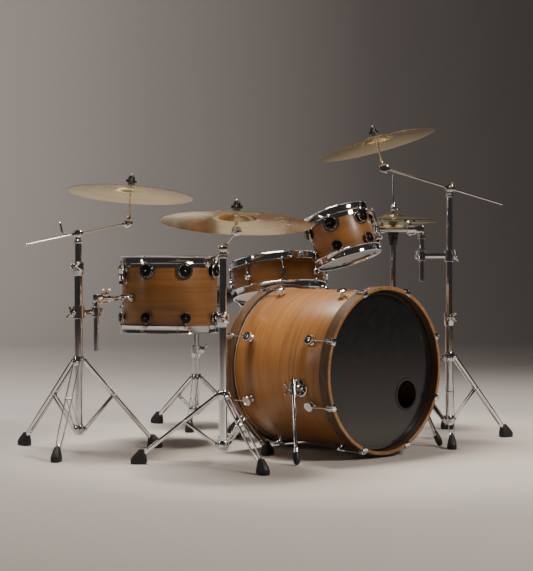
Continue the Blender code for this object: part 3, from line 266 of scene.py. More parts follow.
def tube(inner, outer, low_end, high_end, steps=32):
    """A straight tube from one height to another."""
    return lathe([(inner, low_end), (outer, low_end), (outer, high_end), (inner, high_end)], steps, True)


def held(matrix, x, y, z):
    return matrix @ Vector((x, y, z))


def carried(piece, matrix):
    bmesh.ops.transform(piece, matrix=matrix, verts=piece.verts)
    return piece


def along(start, end):
    """The frame at start whose Z points to end, and the distance."""
    start, end = Vector(start), Vector(end)
    way = end - start
    turn = way.to_track_quat("Z", "Y").to_matrix().to_4x4()
    return Matrix.Translation(start) @ turn, way.length


def rod(start, end, radius, sides=20, chamfer=None, end_radius=None):
    """A round bar with chamfered ends."""
    matrix, length = along(start, end)
    far = radius if end_radius is None else end_radius
    cut = min(radius, far, length / 2) * 0.25 if chamfer is None else chamfer
    profile = [(0, 0), (radius - cut, 0), (radius, cut), (far, length - cut), (far - cut, length),
        (0, length)]
    return carried(lathe(profile, sides), matrix)


def spun(profile, start, end, steps=32, closed=False):
    """A profile turned about the line from start to end, its heights measured along it."""
    return carried(lathe(profile, steps, closed), along(start, end)[0])


def slab(centre, size, chamfer=0.0012, turn=None, segments=2):
    """A block with rounded edges."""
    piece = bmesh.new()
    bmesh.ops.create_cube(piece, size=1.0, matrix=Matrix.Diagonal((*size, 1.0)))
    bmesh.ops.bevel(piece, geom=list(piece.edges), offset=min(chamfer, min(size) * 0.45), segments=segments,
        profile=0.6, affect="EDGES")
    return carried(piece, Matrix.Translation(Vector(centre)) @ (turn or Matrix()))


def bar(start, end, width, thick, sideways, chamfer=0.0008):
    """A flat bar between two points, its width along sideways."""
    start, end = Vector(start), Vector(end)
    size = (width, thick, (end - start).length)
    return slab((start + end) / 2, size, chamfer, axes((0, 0, 0), end - start, sideways))


def rounded_path(points, radius, steps=6):
    """A polyline whose inner corners are rounded."""
    points = [Vector(p) for p in points]
    path = [points[0]]
    for before, corner, after in zip(points, points[1:], points[2:]):
        reach = min(radius, (before - corner).length * 0.49, (after - corner).length * 0.49)
        start = corner + (before - corner).normalized() * reach
        end = corner + (after - corner).normalized() * reach
        for k in range(steps + 1):
            t = k / steps
            path.append(start * (1 - t) ** 2 + corner * 2 * t * (1 - t) + end * t * t)
    return path + [points[-1]]


def pipe(points, radius, sides=14, bend=0.02, flat=1.0, start_way=None):
    """A bar bent along points; flat squeezes its section."""
    path = rounded_path(points, bend)
    way = (path[1] - path[0]).normalized()
    side = way.orthogonal().normalized() if start_way is None else Vector(start_way).normalized()
    rings = []
    for k, point in enumerate(path):
        ahead = (path[min(k + 1, len(path) - 1)] - path[max(k - 1, 0)]).normalized()
        side = (side - ahead * side.dot(ahead)).normalized()
        over = ahead.cross(side) * flat
        rings.append([point + (side * math.cos(2 * math.pi * j / sides) + over
            * math.sin(2 * math.pi * j / sides))
                      * radius for j in range(sides)])
    return loft(rings)


def plate(outline, thick, matrix):
    """A flat plate: the outline in local X and Y, thick along local Z."""
    piece = bmesh.new()
    low_ring = [piece.verts.new((x, y, -thick / 2)) for x, y in outline]
    high_ring = [piece.verts.new((x, y, thick / 2)) for x, y in outline]
    piece.faces.new(low_ring)
    piece.faces.new(high_ring)
    for k in range(len(outline)):
        n = (k + 1) % len(outline)
        piece.faces.new((low_ring[k], low_ring[n], high_ring[n], high_ring[k]))
    closed_up(piece)
    bevel = [e for e in piece.edges if abs(e.verts[0].co.z - e.verts[1].co.z) < 1e-7]
    bmesh.ops.bevel(piece, geom=bevel, offset=min(thick * 0.25, 0.0006), segments=1, affect="EDGES")
    return carried(piece, matrix)


def loft(rings):
    """A solid through closed rings of equally many points."""
    piece = bmesh.new()
    made = [[piece.verts.new(p) for p in ring] for ring in rings]
    count = len(rings[0])
    for first, second in zip(made, made[1:]):
        for j in range(count):
            piece.faces.new((first[j], first[(j + 1) % count], second[(j + 1) % count], second[j]))
    piece.faces.new(made[0])
    piece.faces.new(made[-1])
    return closed_up(piece)


def rounded_ring(centre, length, width, power=3.2, count=20):
    """Points of a rounded rectangle in the XY plane."""
    ring = []
    for k in range(count):
        t = 2 * math.pi * k / count
        c, s = math.cos(t), math.sin(t)
        ring.append(Vector(centre) + Vector((math.copysign(abs(c) ** (2 / power), c) * length / 2,
            math.copysign(abs(s) ** (2 / power), s) * width / 2, 0)))
    return ring


# their pattern follows the piece's own axis
GRAINED = (HONEY, HOOPWOOD, EDGEWOOD, PLY, BRONZE, VINYL)


def linked(name, data):
    made = bpy.data.objects.new(name, data)
    bpy.context.scene.collection.objects.link(made)
    return made


def put(node, groups, matrix=None, sharp=38.0, name=None):
    """The pieces that stand for a CAD node, one object for each (material, meshes) group."""
    made = []
    for mat, pieces in groups:
        if not pieces:
            continue
        label = (name or node) + "_" + mat.name
        mesh = bpy.data.meshes.new(label)
        scratch = bpy.data.meshes.new("scratch")
        whole = bmesh.new()
        for piece in pieces:
            piece.to_mesh(scratch)
            whole.from_mesh(scratch)
            piece.free()
        bpy.data.meshes.remove(scratch)
        place = Matrix.Translation(ORIGIN) @ (Matrix() if matrix is None else matrix)
        if mat not in GRAINED:
            whole.transform(place)
            place = Matrix()
        whole.to_mesh(mesh)
        whole.free()
        mesh.materials.append(mat)
        mesh.shade_smooth()
        mesh.set_sharp_from_angle(angle=math.radians(sharp))
        thing = linked(label, mesh)
        thing.matrix_world = place
        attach(thing, BODY[node])
        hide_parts(node)
        made.append(thing)
    return made


# ------------------------------------------------------------------ small hardware

def bolt(place, way, radius=0.0045, height=0.005):
    """A domed screw head standing on a surface."""
    way = Vector(way).normalized()
    profile = [(0, 0), (radius, 0), (radius, height * 0.5), (radius * 0.8, height * 0.85), (0, height)]
    return spun(profile, place, Vector(place) + way, 14)


def wing_nut(place, way, spread, span=0.034, stem=0.01, core=0.0055):
    """A wing nut at place, its thread along way and its wings along spread."""
    way, spread = Vector(way).normalized(), Vector(spread).normalized()
    place = Vector(place)
    pieces = [rod(place, place + way * stem, core, 16)]
    for side in (-1, 1):
        base = place + way * stem * 0.55 + spread * side * core * 0.6
        tip = place + way * (stem + span * 0.22) + spread * side * span / 2
        pieces += [pipe([base, base.lerp(tip, 0.5) + way * 0.001, tip], 0.0042, 12, 0.01, 0.5, way),
            rod(tip - way.cross(spread) * 0.0022, tip + way.cross(spread) * 0.0022, 0.0056, 14)]
    return pieces


def clamp_ring(radius, height, centre_z, screw_angle, wall=0.0055, width=0.016):
    """A split clamp round an upright tube, with its ears, bolt and wing nut."""
    inner, outer, half, cut = radius, radius + wall, height / 2, 0.0016
    ring = lathe([(inner, -half), (outer - cut, -half), (outer, -half + cut), (outer, half - cut),
        (outer - cut, half), (inner, half)], 32, True)
    pieces = [carried(ring, Matrix.Translation((0, 0, centre_z)))]
    turn = turned(screw_angle)
    for side in (-1, 1):
        pieces.append(slab(held(turn, outer + width * 0.35, side * 0.0048, centre_z),
            (width, 0.0056, height * 0.8), 0.0015, turn))
    axis = (turn @ Y).normalized()
    middle = held(turn, outer + width * 0.45, 0, centre_z)
    pieces += [rod(middle - axis * 0.014, middle + axis * 0.013, 0.0032, 12),
        bolt(middle - axis * 0.01, -axis, 0.0058, 0.006), *wing_nut(middle + axis * 0.0085, axis,
        held(turn, 0.5, 0, 0.85), 0.032, 0.01)]
    return pieces


def foot(angle, reach):
    """A rubber foot: a blunt wedge on the floor with the leg's socket at its upper, inner end."""
    turn = turned(angle)
    length, width, tall = 0.056, 0.034, 0.05
    middle = reach - length / 2
    rings = []
    for height, shift, long, wide in ((0.0, 0.0, 0.82, 0.8), (0.04, 0.0, 0.95, 0.95), (0.22, 0.0, 1.0, 1.0),
            (0.45, -0.03, 0.92, 0.94), (0.68, -0.1, 0.7, 0.78), (0.88, -0.17, 0.5, 0.62),
            (1.0, -0.2, 0.38, 0.5)):
        rings.append([turn @ p for p in rounded_ring((middle + shift * length, 0, height * tall), length
            * long, width * wide)])
    pieces = [loft(rings)]
    for k in range(3):
        height = tall * (0.1 + 0.11 * k)
        ring = [turn @ p for p in rounded_ring((middle, 0, height), length * 1.025, width * 1.04)]
        top = [p + Z * 0.0016 for p in ring]
        pieces.append(loft([ring, top]))
    return pieces


def tripod(angles, reach, collar, low_z):
    """Double-strip legs and braces with rivets, sleeves and rubber feet. Returns chrome and rubber."""
    chrome, rubber = [], []
    ankle = reach - 0.025
    half = 0.017
    for height, tall in ((collar, 0.034), (low_z, 0.03)):
        outer = BASE_TUBE + 0.0052
        chrome.append(carried(lathe([(BASE_TUBE, -half), (outer - 0.002, -half), (outer, -half + 0.003),
            (outer, half - 0.003), (outer - 0.002, half), (BASE_TUBE, half)], 32, True),
            Matrix.Translation((0, 0, height)) @ Matrix.Scale(tall / 0.034, 4, Z)))
    chrome.append(rod((0, 0, low_z - 0.021), (0, 0, low_z - 0.012), BASE_TUBE * 0.96, 28))
    for angle in angles:
        across, out = spoke(1, angle + 90), spoke(1, angle)
        top = spoke(BASE_TUBE + 0.0095, angle, collar - 0.004)
        toe = spoke(ankle - 0.012, angle, 0.03)
        knee = top.lerp(toe, 0.42)
        hip = spoke(BASE_TUBE + 0.0095, angle, low_z)
        way = (toe - top).normalized()
        normal = way.cross(across)
        brace_way = (knee - hip).normalized()
        brace_normal = brace_way.cross(across)
        for end, tall in ((top, 0.02), (hip, 0.016)):
            for side in (-1, 1):
                chrome.append(slab(end - out * 0.003 + across * side * 0.0058, (0.016, 0.003, tall), 0.0008,
                    turned(angle)))
        for side in (-1, 1):
            offset = across * side * 0.0112
            drawn_in = top.lerp(toe, 0.8)
            chrome.append(pipe([top - way * 0.008 + offset, drawn_in + offset, toe + way * 0.014 + offset
                * 0.45], 0.0066, 12, 0.05, 0.22, normal))
            offset = across * side * 0.0082
            chrome.append(bar(hip - brace_way * 0.004 + offset, knee + brace_way * 0.006 + offset, 0.0094,
                0.0018, brace_normal, 0.0006))
            for place, shift in ((top, 0.0126), (knee, 0.0126), (hip, 0.0094)):
                chrome.append(bolt(place + across * side * shift, across * side, 0.0046, 0.0022))
        for place, shift in ((top, 0.013), (knee, 0.013), (hip, 0.0096)):
            chrome.append(rod(place - across * shift, place + across * shift, 0.0026, 10))
        chrome.append(bar(toe - way * 0.03, toe + way * 0.006, 0.0125, 0.0105, across, 0.0022))
        rubber += foot(angle, reach)
    return chrome, rubber


def post(top):
    """An upper tube whose lower end is hidden in the stand."""
    return tube(UPPER_TUBE - 0.002, UPPER_TUBE, -0.13, top, 36)


def stand_base(node, place, angles, reach, collar, low_z, tube_top, screw_angle):
    """The lower tube on its tripod, with the height clamp at its top."""
    chrome, rubber = tripod(angles, reach, collar, low_z)
    chrome.append(tube(BASE_TUBE - 0.002, BASE_TUBE, low_z - 0.02, tube_top - 0.006))
    clamp = clamp_ring(UPPER_TUBE + 0.0006, 0.03, tube_top - 0.012, screw_angle, 0.0075, 0.018)
    skirt = lathe(mm(0, -46, 3, -44, 4.8, -28, 0, -26, at=(BASE_TUBE, tube_top)), 32, True)
    collar_cap = tube(UPPER_TUBE + 0.0005, BASE_TUBE + 0.001, tube_top + 0.001, tube_top + 0.0035)
    put(node, [(CHROME, chrome + clamp + [skirt]), (RUBBER, rubber), (PLASTIC, [collar_cap])],
        axes((*place, 0)))


# ------------------------------------------------------------------ drums

def flip(side):
    return Matrix() if side > 0 else Matrix.Rotation(math.pi, 4, "X")


def around(count, phase):
    return [phase + 360.0 * k / count for k in range(count)]


def radial(profile, angle, radius, height=0.0, steps=28):
    """A profile turned about the spoke at an angle, its heights measured out from the radius."""
    return spun(profile, spoke(radius, angle, height), spoke(radius + 0.1, angle, height), steps)


def shell(node, radius, depth, wall, matrix, hole_angle=None):
    """A lacquered outer skin round the inner plies, with bevelled bearing edges."""
    half = depth / 2
    skin = mm(-1.6, 0, -0.6, -0.2, 0, -1.4, at=(radius, half)) + mm(0, 1.4, -0.6, 0.2, -1.6, 0,
        at=(radius, -half))
    inner = [(radius - wall, half - 0.003), (radius - wall * 0.45, half), (radius - 0.0018, half),
        (radius - 0.0018, -half), (radius - wall * 0.45, -half), (radius - wall, -half + 0.003)]
    groups = [(HONEY, [lathe(skin, 144, True)]), (PLY, [lathe(inner, 144, True)])]
    if hole_angle is not None:
        vent = mm(3.2, 0.1, 7.8, 0.1, 7.4, 1.2, 3.6, 1.4)
        groups.append((CHROME, [carried(lathe(vent, 28, True), axes(spoke(radius, hole_angle),
            spoke(1, hole_angle)))]))
    put(node, groups, matrix)


def head(node, mat, radius, depth, side, matrix):
    """A drum skin with its collar turned down over the bearing edge."""
    seat = depth / 2 + GAP
    out = radius + 0.0027
    profile = [(0, seat + 0.0006), (radius - 0.02, seat + 0.0006), (radius - 0.01, seat + 0.0009),
        (radius - 0.003, seat + 0.0014), (radius + 0.0012, seat + 0.0011), (out, seat - 0.0006),
        (out, seat - 0.0118), (radius + 0.0004, seat - 0.0118), (radius + 0.0004, seat), (0, seat)]
    put(node, [(mat, [lathe(profile, 144)])], matrix @ flip(side))


def lug_disc(radius, angle, height, size, ring, deep):
    """A round lug: chrome stem and ring, black disc turned with rings. Returns chrome and dark."""
    dark = [(0, deep), (size * 0.16, deep), (size * 0.2, deep - 0.001), (size * 0.34, deep - 0.001),
        (size * 0.38, deep - 0.0002), (size * 0.58, deep - 0.0006), (size * 0.61, deep - 0.0018),
        (size * 0.8, deep - 0.002), (size * 0.84, deep - 0.0012), (size * 0.96, deep - 0.0024),
        (size, deep - 0.0042), (size, deep - 0.0085), (size * 0.86, deep - 0.01), (0, deep - 0.01)]
    stem = [(0, 0.0004), (size * 0.62, 0.0004), (size * 0.66, 0.0016), (size * 0.42, 0.003),
        (size * 0.4, deep - 0.0102), (0, deep - 0.0102)]
    middle = deep - 0.0062
    band = mm(0.4, -1.6, at=(size, middle)) + mm(-0.7, -1.6, 0, -0.6, 0, 0.6, -0.7, 1.6,
        at=(ring, middle)) + mm(0.4, 1.6, at=(size, middle))
    chrome = [radial(stem, angle, radius, height), carried(lathe(band, 36, True),
        axes(spoke(radius, angle, height), spoke(1, angle), Z))]
    centre = [(0, deep + 0.0012), (size * 0.12, deep + 0.001), (size * 0.15, deep + 0.0001),
        (0, deep + 0.0001)]
    chrome.append(radial(centre, angle, radius, height, 20))
    return chrome, [radial(dark, angle, radius, height, 40)]


def scallop_band(radius, top, lug_height, angles, dip, rise):
    """The thin chrome suspension band under the top hoop, dipping in a U round each lug."""
    stops = set()
    wide = math.degrees(dip / radius)
    for angle in angles:
        for k in range(25):
            stops.add(round(angle - wide * math.cos(math.pi * k / 24), 5))
        stops.add(round(angle - wide * 1.002, 5))
        stops.add(round(angle + wide * 1.002, 5))
    gap = 360.0 / len(angles)
    for angle in angles:
        for k in range(1, 8):
            stops.add(round(angle + wide * 1.01 + (gap - 2.02 * wide) * k / 8, 5))
    columns = []
    for angle in sorted(stops):
        off = min((abs((angle - lug + 180) % 360 - 180) for lug in angles))
        across = math.radians(off) * radius
        edge = lug_height + rise
        if across < dip:
            edge = lug_height - math.sqrt(max(dip * dip - across * across, 0.0))
        columns.append((angle, edge))
    piece = bmesh.new()
    inner, outer = radius + 0.0026, radius + 0.004
    rows = [[piece.verts.new(p) for p in (spoke(inner, a, top), spoke(outer, a, top), spoke(outer, a, e),
        spoke(inner, a, e))] for a, e in columns]
    for k, row in enumerate(rows):
        following = rows[(k + 1) % len(rows)]
        for j in range(4):
            n = (j + 1) % 4
            piece.faces.new((row[j], row[n], following[n], following[j]))
    return closed_up(piece)


def metal_hoop(node, radius, depth, side, angles, drop, size, ring, matrix, band=None):
    """A flanged hoop with an ear, key bolt, rod and lug at each place."""
    inner = radius + 0.003
    outer = inner + 0.0023
    top, low = depth / 2 + 0.0095, depth / 2 - 0.02
    profile = [(inner, top - 0.0012), (inner + 0.0006, top), (outer + 0.0026, top),
        (outer + 0.0034, top - 0.001), (outer + 0.0028, top - 0.0024), (outer + 0.0004, top - 0.0034),
        (outer, top - 0.0052), (outer, low + 0.006), (outer + 0.001, low + 0.0036),
        (outer + 0.0048, low + 0.0024), (outer + 0.0052, low + 0.001), (outer + 0.0046, low), (inner, low)]
    chrome = [lathe(profile, 144, True)]
    dark = []
    circle = radius + GAP + 0.018 * 0.6
    lug_height = depth / 2 - drop
    for angle in angles:
        turn = turned(angle)
        reach = circle + 0.0052 - outer
        outline = [(outer - 0.001, -0.013), (outer + reach * 0.3, -0.0115), (outer + reach * 0.72, -0.0078),
            (outer + reach * 0.93, -0.0044), (outer + reach, 0.0), (outer + reach * 0.93, 0.0044),
            (outer + reach * 0.72, 0.0078), (outer + reach * 0.3, 0.0115), (outer - 0.001, 0.013)]
        chrome.append(plate(outline, 0.0024, turn @ Matrix.Translation((0, 0, low + 0.0013))))
        seat = held(turn, circle, 0, low + 0.0025)
        chrome += [spun(mm(0, 0, 5.2, 0, 5.2, 1.1, 4.6, 1.4, 4, 3, 3.4, 3.4, 0, 3.4), seat, seat + Z, 20),
            slab(seat + Z * 0.0062, (0.0052, 0.0052, 0.0062), 0.0007, turn)]
        end = lug_height + size * 0.55
        chrome += [rod(seat - Z * 0.001, held(turn, circle, 0, end), 0.0029, 14),
            rod(held(turn, circle, 0, end + 0.01), held(turn, circle, 0, end - 0.004), 0.0046, 16)]
        bright, black = lug_disc(radius, angle, lug_height, size, ring, 0.0185)
        chrome += bright
        dark += black
    if band:
        chrome.append(scallop_band(radius, low - 0.0004, lug_height, angles, *band))
    put(node, [(CHROME, chrome), (DARK, dark)], matrix @ flip(side))


BASS = axes((0, 0, BASS_Z), (0, -1, 0))
shell("bass_shell", BASS_R, BASS_D, 0.008, BASS)
head("bass_batter_head", WHITESKIN, BASS_R, BASS_D, -1, BASS)


def front_head():
    """The black front skin with its off-centre port and the port's moulded rim."""
    seat = BASS_D / 2 + GAP
    place = BASS.inverted() @ Vector((0.142, 0, BASS_Z - 0.093))
    flat_r = BASS_R - 0.012
    piece = bmesh.new()
    for height in (seat + 0.0006, seat):
        outer = [piece.verts.new(spoke(flat_r, 2.5 * k, height)) for k in range(144)]
        inner = [piece.verts.new(Vector((place.x, place.y, 0)) + spoke(0.0515, 5 * k, height))
            for k in range(72)]
        edges = []
        for ring in (outer, inner):
            edges += [piece.edges.new((ring[k], ring[(k + 1) % len(ring)])) for k in range(len(ring))]
        bmesh.ops.triangle_fill(piece, use_beauty=True, edges=edges)
        if height == seat:
            inner_low, outer_low = inner, outer
        else:
            inner_high, outer_high = inner, outer
    for first, second in ((inner_high, inner_low), (outer_high, outer_low)):
        for k in range(len(first)):
            n = (k + 1) % len(first)
            piece.faces.new((first[k], first[n], second[n], second[k]))
    closed_up(piece)
    out = BASS_R + 0.0027
    collar = lathe([(flat_r - 0.0002, seat + 0.0008), (BASS_R - 0.003, seat + 0.0016),
        (BASS_R + 0.0012, seat + 0.0012), (out, seat - 0.0006), (out, seat - 0.0118),
        (BASS_R + 0.0004, seat - 0.0118), (BASS_R + 0.0004, seat + 0.0001), (flat_r - 0.0002, seat + 0.0001)],
        144, True)
    rim = lathe(mm(49, -3, 51.2, -3.2, 51.2, 0.8, 57.5, 0.9, 58.8, 1.8, 57.8, 2.8, 51.5, 3.4, 49.6, 2.6, 48.8,
        0.8), 96, True)
    rim = carried(rim, Matrix.Translation((place.x, place.y, seat)))
    put("bass_front_head", [(BLACKSKIN, [piece, collar]), (PLASTIC, [rim])], BASS)


def bass_hoop(node, side):
    """A dark grained hoop with a pale front edge, its claws, key bolts, rods and round lugs."""
    top = BASS_D / 2 + HOOP_RISE
    low_z = top - HOOP_DEPTH
    inner = BASS_R + 0.003
    body = lathe([(inner, top - 0.0028), (HOOP_R - 0.0006, top - 0.0028), (HOOP_R, top - 0.0034),
        (HOOP_R, low_z + 0.0016), (HOOP_R - 0.0016, low_z), (inner + 0.0012, low_z), (inner, low_z + 0.0012)],
        144, True)
    edge = lathe(mm(0, -2.6, at=(inner, top)) + mm(-0.6, -2.6, 0, -2.2, 0, -1.4, -1.4, 0, at=(HOOP_R, top))
        + mm(1.4, 0, 0, -1.4, at=(inner, top)), 144, True)
    chrome, dark = [], []
    lug_height = BASS_D / 2 - 0.075
    circle = HOOP_R + 0.004 + 0.003
    for angle in around(8, 22.5):
        turn = turned(angle)

        def here(x, y, z):
            return held(turn, x, y, z)
        outline = mm(3.5, -11.5, 3.5, 11.5, -12, 12, -22, 8.5, -29, 5, -31, 0, -29, -5, -22, -8.5, -12, -12,
            at=(top, 0))
        back = Matrix(((0, 0, 1, HOOP_R + 0.0016), (0, 1, 0, 0), (1, 0, 0, 0), (0, 0, 0, 1)))
        chrome += [plate(outline, 0.0026, turn @ back), slab(here(HOOP_R - 0.0045, 0, top + 0.0023),
            (0.016, 0.0235, 0.003), 0.001, turn), slab(here(HOOP_R - 0.0118, 0, top + 0.0008),
            (0.0024, 0.0215, 0.0045), 0.0008, turn)]
        for side_y in (-1, 1):
            chrome.append(slab(here(HOOP_R + 0.0055, side_y * 0.0082, top - 0.0085), (0.0078, 0.0022, 0.02),
                0.0008, turn))
        chrome += [rod(here(circle, 0, top - 0.004), here(circle, 0, top - 0.024), 0.0066, 20),
            spun(mm(0, 0, 6.2, 0, 6.2, 1.2, 4.4, 2, 4.4, 3.4, 0, 3.4), here(circle, 0, top - 0.004),
            here(circle, 0, top + 1), 20), slab(here(circle, 0, top + 0.0012), (0.0056, 0.0056, 0.0066),
            0.0007, turn), rod(here(circle, 0, top - 0.023), here(circle, 0, lug_height + 0.006), 0.003, 16),
            rod(here(circle, 0, lug_height + 0.02), here(circle, 0, lug_height + 0.004), 0.005, 18)]
        lug = mm(0, 0.4, 12.5, 0.4, 13, 1.6, 10.4, 3, 8, 5.2, 8, 14, 11, 16.5, 17.2, 17.6, 18.6, 19, 18.6,
            24.4, 17.6, 26.8, 16, 27.6, 15.4, 26.8, 8, 26.8, 7.4, 27.8, 4, 28.6, 0, 28.8)
        chrome.append(radial(lug, angle, BASS_R, lug_height, 40))
    put(node, [(HOOPWOOD, [body]), (EDGEWOOD, [edge]), (CHROME, chrome), (DARK, dark)], BASS @ flip(side))


front_head()
bass_hoop("bass_front_hoop", 1)
bass_hoop("bass_rear_hoop", -1)


def spur(name, side):
    """A round flanged bracket with a split sleeve, and the leg with its rubber tip."""
    pivot = Vector((side * (BASS_R + 0.0325), -0.112, BASS_Z - 0.058))
    toe = Vector((side * (BASS_R + 0.0325 + 0.066), -0.195, 0.001))
    way = (toe - pivot).normalized()
    below = math.atan2(0.058, BASS_R + 0.0325)
    normal = Vector((side * math.cos(below), 0, -math.sin(below)))
    seat = Vector((0, -0.112, BASS_Z)) + normal * (BASS_R + GAP)
    base = axes(seat, normal, (0, 1, 0))
    inverse = base.inverted()
    holder, axis = inverse @ pivot, inverse.to_3x3() @ way
    disc = mm(0, 1.2, 24, 1.2, 25.5, 0.6, 31, 0.6, 32.8, 2.2, 32.8, 5.6, 31.2, 7.2, 27.2, 7.6, 25.6, 4.8, 15,
        4.8, 12.2, 9, 9.5, 14, 8.4, 24, 0, 24)
    chrome = [lathe(disc, 48), rod((0, 0, 0.004), holder, 0.0075, 24)]
    for angle in (30, 90, 150, 210, 270, 330):
        chrome.append(bolt(spoke(0.0204, angle, 0.0062), Z, 0.003, 0.0026))
    sleeve = spun(mm(7.6, 0, 12, 0, 13.3, 1.4, 13.3, 12, 12.2, 13.2, 12.2, 30.8, 13.3, 32, 13.3, 42.6, 12, 44,
        7.6, 44), holder - axis * 0.022, holder + axis * 0.022, 36, True)
    chrome.append(sleeve)
    out = (Z - axis * axis.z).normalized()
    chrome += [rod(holder + out * 0.01, holder + out * 0.019, 0.0055, 18),
        *wing_nut(holder + out * 0.018, out, axis, 0.036, 0.008)]
    dark = [lathe(mm(15.6, 5, 25.2, 5, 24.8, 6, 16, 6), 48, True)]
    put(name + "_bracket", [(CHROME, chrome), (DARK, dark)], base)
    leg = axes(pivot, way)
    length = (toe - pivot).length
    shaft = mm(0, -40, 5.8, -40, 7, -38.5) + mm(7, -46, 0, -46, at=(0, length))
    ferrule = mm(7.2, -62, 9.4, -60, 10, -46, 7.2, -44, at=(0, length))
    tip = mm(0, -47, 9.8, -47, 12.2, -40, 12.5, -22, 10.4, -10, 6.2, -4.5, 0, -3.5, at=(0, length))
    put(name + "_leg", [(CHROME, [lathe(shaft, 28), lathe(ferrule, 28, True)]), (RUBBER, [lathe(tip, 28)])],
        leg)


spur("left_spur", -1)
spur("right_spur", 1)


# ------------------------------------------------------------------ toms on their arms

LEFT, RIDE, RIGHT = (-0.666, 0.629), (-HOOP_R - 0.231, 0.011), (HOOP_R + 0.257, -0.088)


def tom(name, place, axis, stand, radius, depth, angles, drops, offset, sizes):
    """Shell, skins, hoops with suspension band, and the bracket on the arm."""
    up = Vector(axis).normalized()
    matrix = axes(place, up)
    shell(name + "_shell", radius, depth, 0.006, matrix, angles[0] + 180.0 / len(angles))
    head(name + "_batter_head", WHITESKIN, radius, depth, 1, matrix)
    head(name + "_resonant_head", BLACKSKIN, radius, depth, -1, matrix)
    metal_hoop(name + "_top_hoop", radius, depth, 1, angles, drops[0], sizes[0], sizes[0] + 0.0026, matrix,
        band=(0.0318, 0.0135))
    metal_hoop(name + "_bottom_hoop", radius, depth, -1, [-a for a in angles], drops[1], sizes[1], sizes[1]
        + 0.002, matrix)
    hang = Vector(place) + up * offset
    away = Vector((stand[0] - hang.x, stand[1] - hang.y, 0)).normalized()
    local = matrix.inverted()
    start, reach = local @ hang, (local.to_3x3() @ away).normalized()
    upright = reach.cross(Z).cross(reach).normalized()
    across = reach.cross(upright)
    first = start + reach * (radius + 0.0075) / math.sqrt(1 - up.dot(away) ** 2)
    turn = Matrix((across, upright, reach)).transposed().to_4x4()
    outline = mm(-20, -9, -17, -12.5, 17, -12.5, 20, -9, 20, 9, 17, 12.5, -17, 12.5, -20, 9)
    chrome = [plate(outline, 0.005, Matrix.Translation(first + reach * 0.003) @ turn)]
    chrome.append(spun(mm(9.5, 0, 15, 0, 13.8, 4, 12.3, 6, 12.3, 20, 13.6, 21.2, 13.6, 33.2, 12.4, 34.4, 9.5,
        34.4), first + reach * 0.0056, first + reach * 0.04, 36, True))
    for x in (-0.0145, 0.0145):
        for y in (-0.0078, 0.0078):
            chrome.append(bolt(first + reach * 0.0054 + across * x + upright * y, reach, 0.003, 0.0026))
    mid = first + reach * 0.031
    side = -upright if name == "floor_tom" else upright
    chrome += [rod(mid + side * 0.01, mid + side * 0.019, 0.0052, 18),
        *wing_nut(mid + side * 0.018, side, across, 0.032, 0.008)]
    half = depth / 2
    if name == "floor_tom":
        foot = spoke(radius + 0.0215, 166.6, half - 0.098)
        chrome.append(spun(mm(0, 0, 8.5, 0, 10, 1.6, 10, 16, 12.6, 19, 12.6, 24, 11.6, 25.6, 11.6, 50, 12.6,
            51.6, 12.6, 58, 9.2, 63, 6, 72, 0, 74), foot, foot + Z, 36))
        for height in (half - 0.086, half - 0.042):
            chrome += [rod(spoke(radius + 0.0006, 166.6, height), spoke(radius + 0.022, 166.6, height), 0.006,
                20), rod(spoke(radius + 0.0006, 166.6, height), spoke(radius + 0.0036, 166.6, height), 0.0105,
                24)]
    else:
        heading = math.degrees(math.atan2(reach.y, reach.x))
        turn = turned(heading) @ Matrix(((0, 0, 1, radius + 0.023), (1, 0, 0, 0), (0, 1, 0, 0.006),
            (0, 0, 0, 1)))
        outline = mm(-16, -52, -12, -58, 12, -58, 16, -52, 20, 0, 17, 60, 12, 68, -12, 68, -17, 60, -20, 0)
        chrome.append(plate(outline, 0.0034, turn))
        for height in (-0.044, 0.06):
            chrome += [rod(spoke(radius + 0.0006, heading, height), spoke(radius + 0.0215, heading, height),
                0.0062, 20), bolt(spoke(radius + 0.0246, heading, height), spoke(1, heading), 0.0056, 0.0046)]
    put(name + "_bracket", [(CHROME, chrome)], matrix)
    return hang


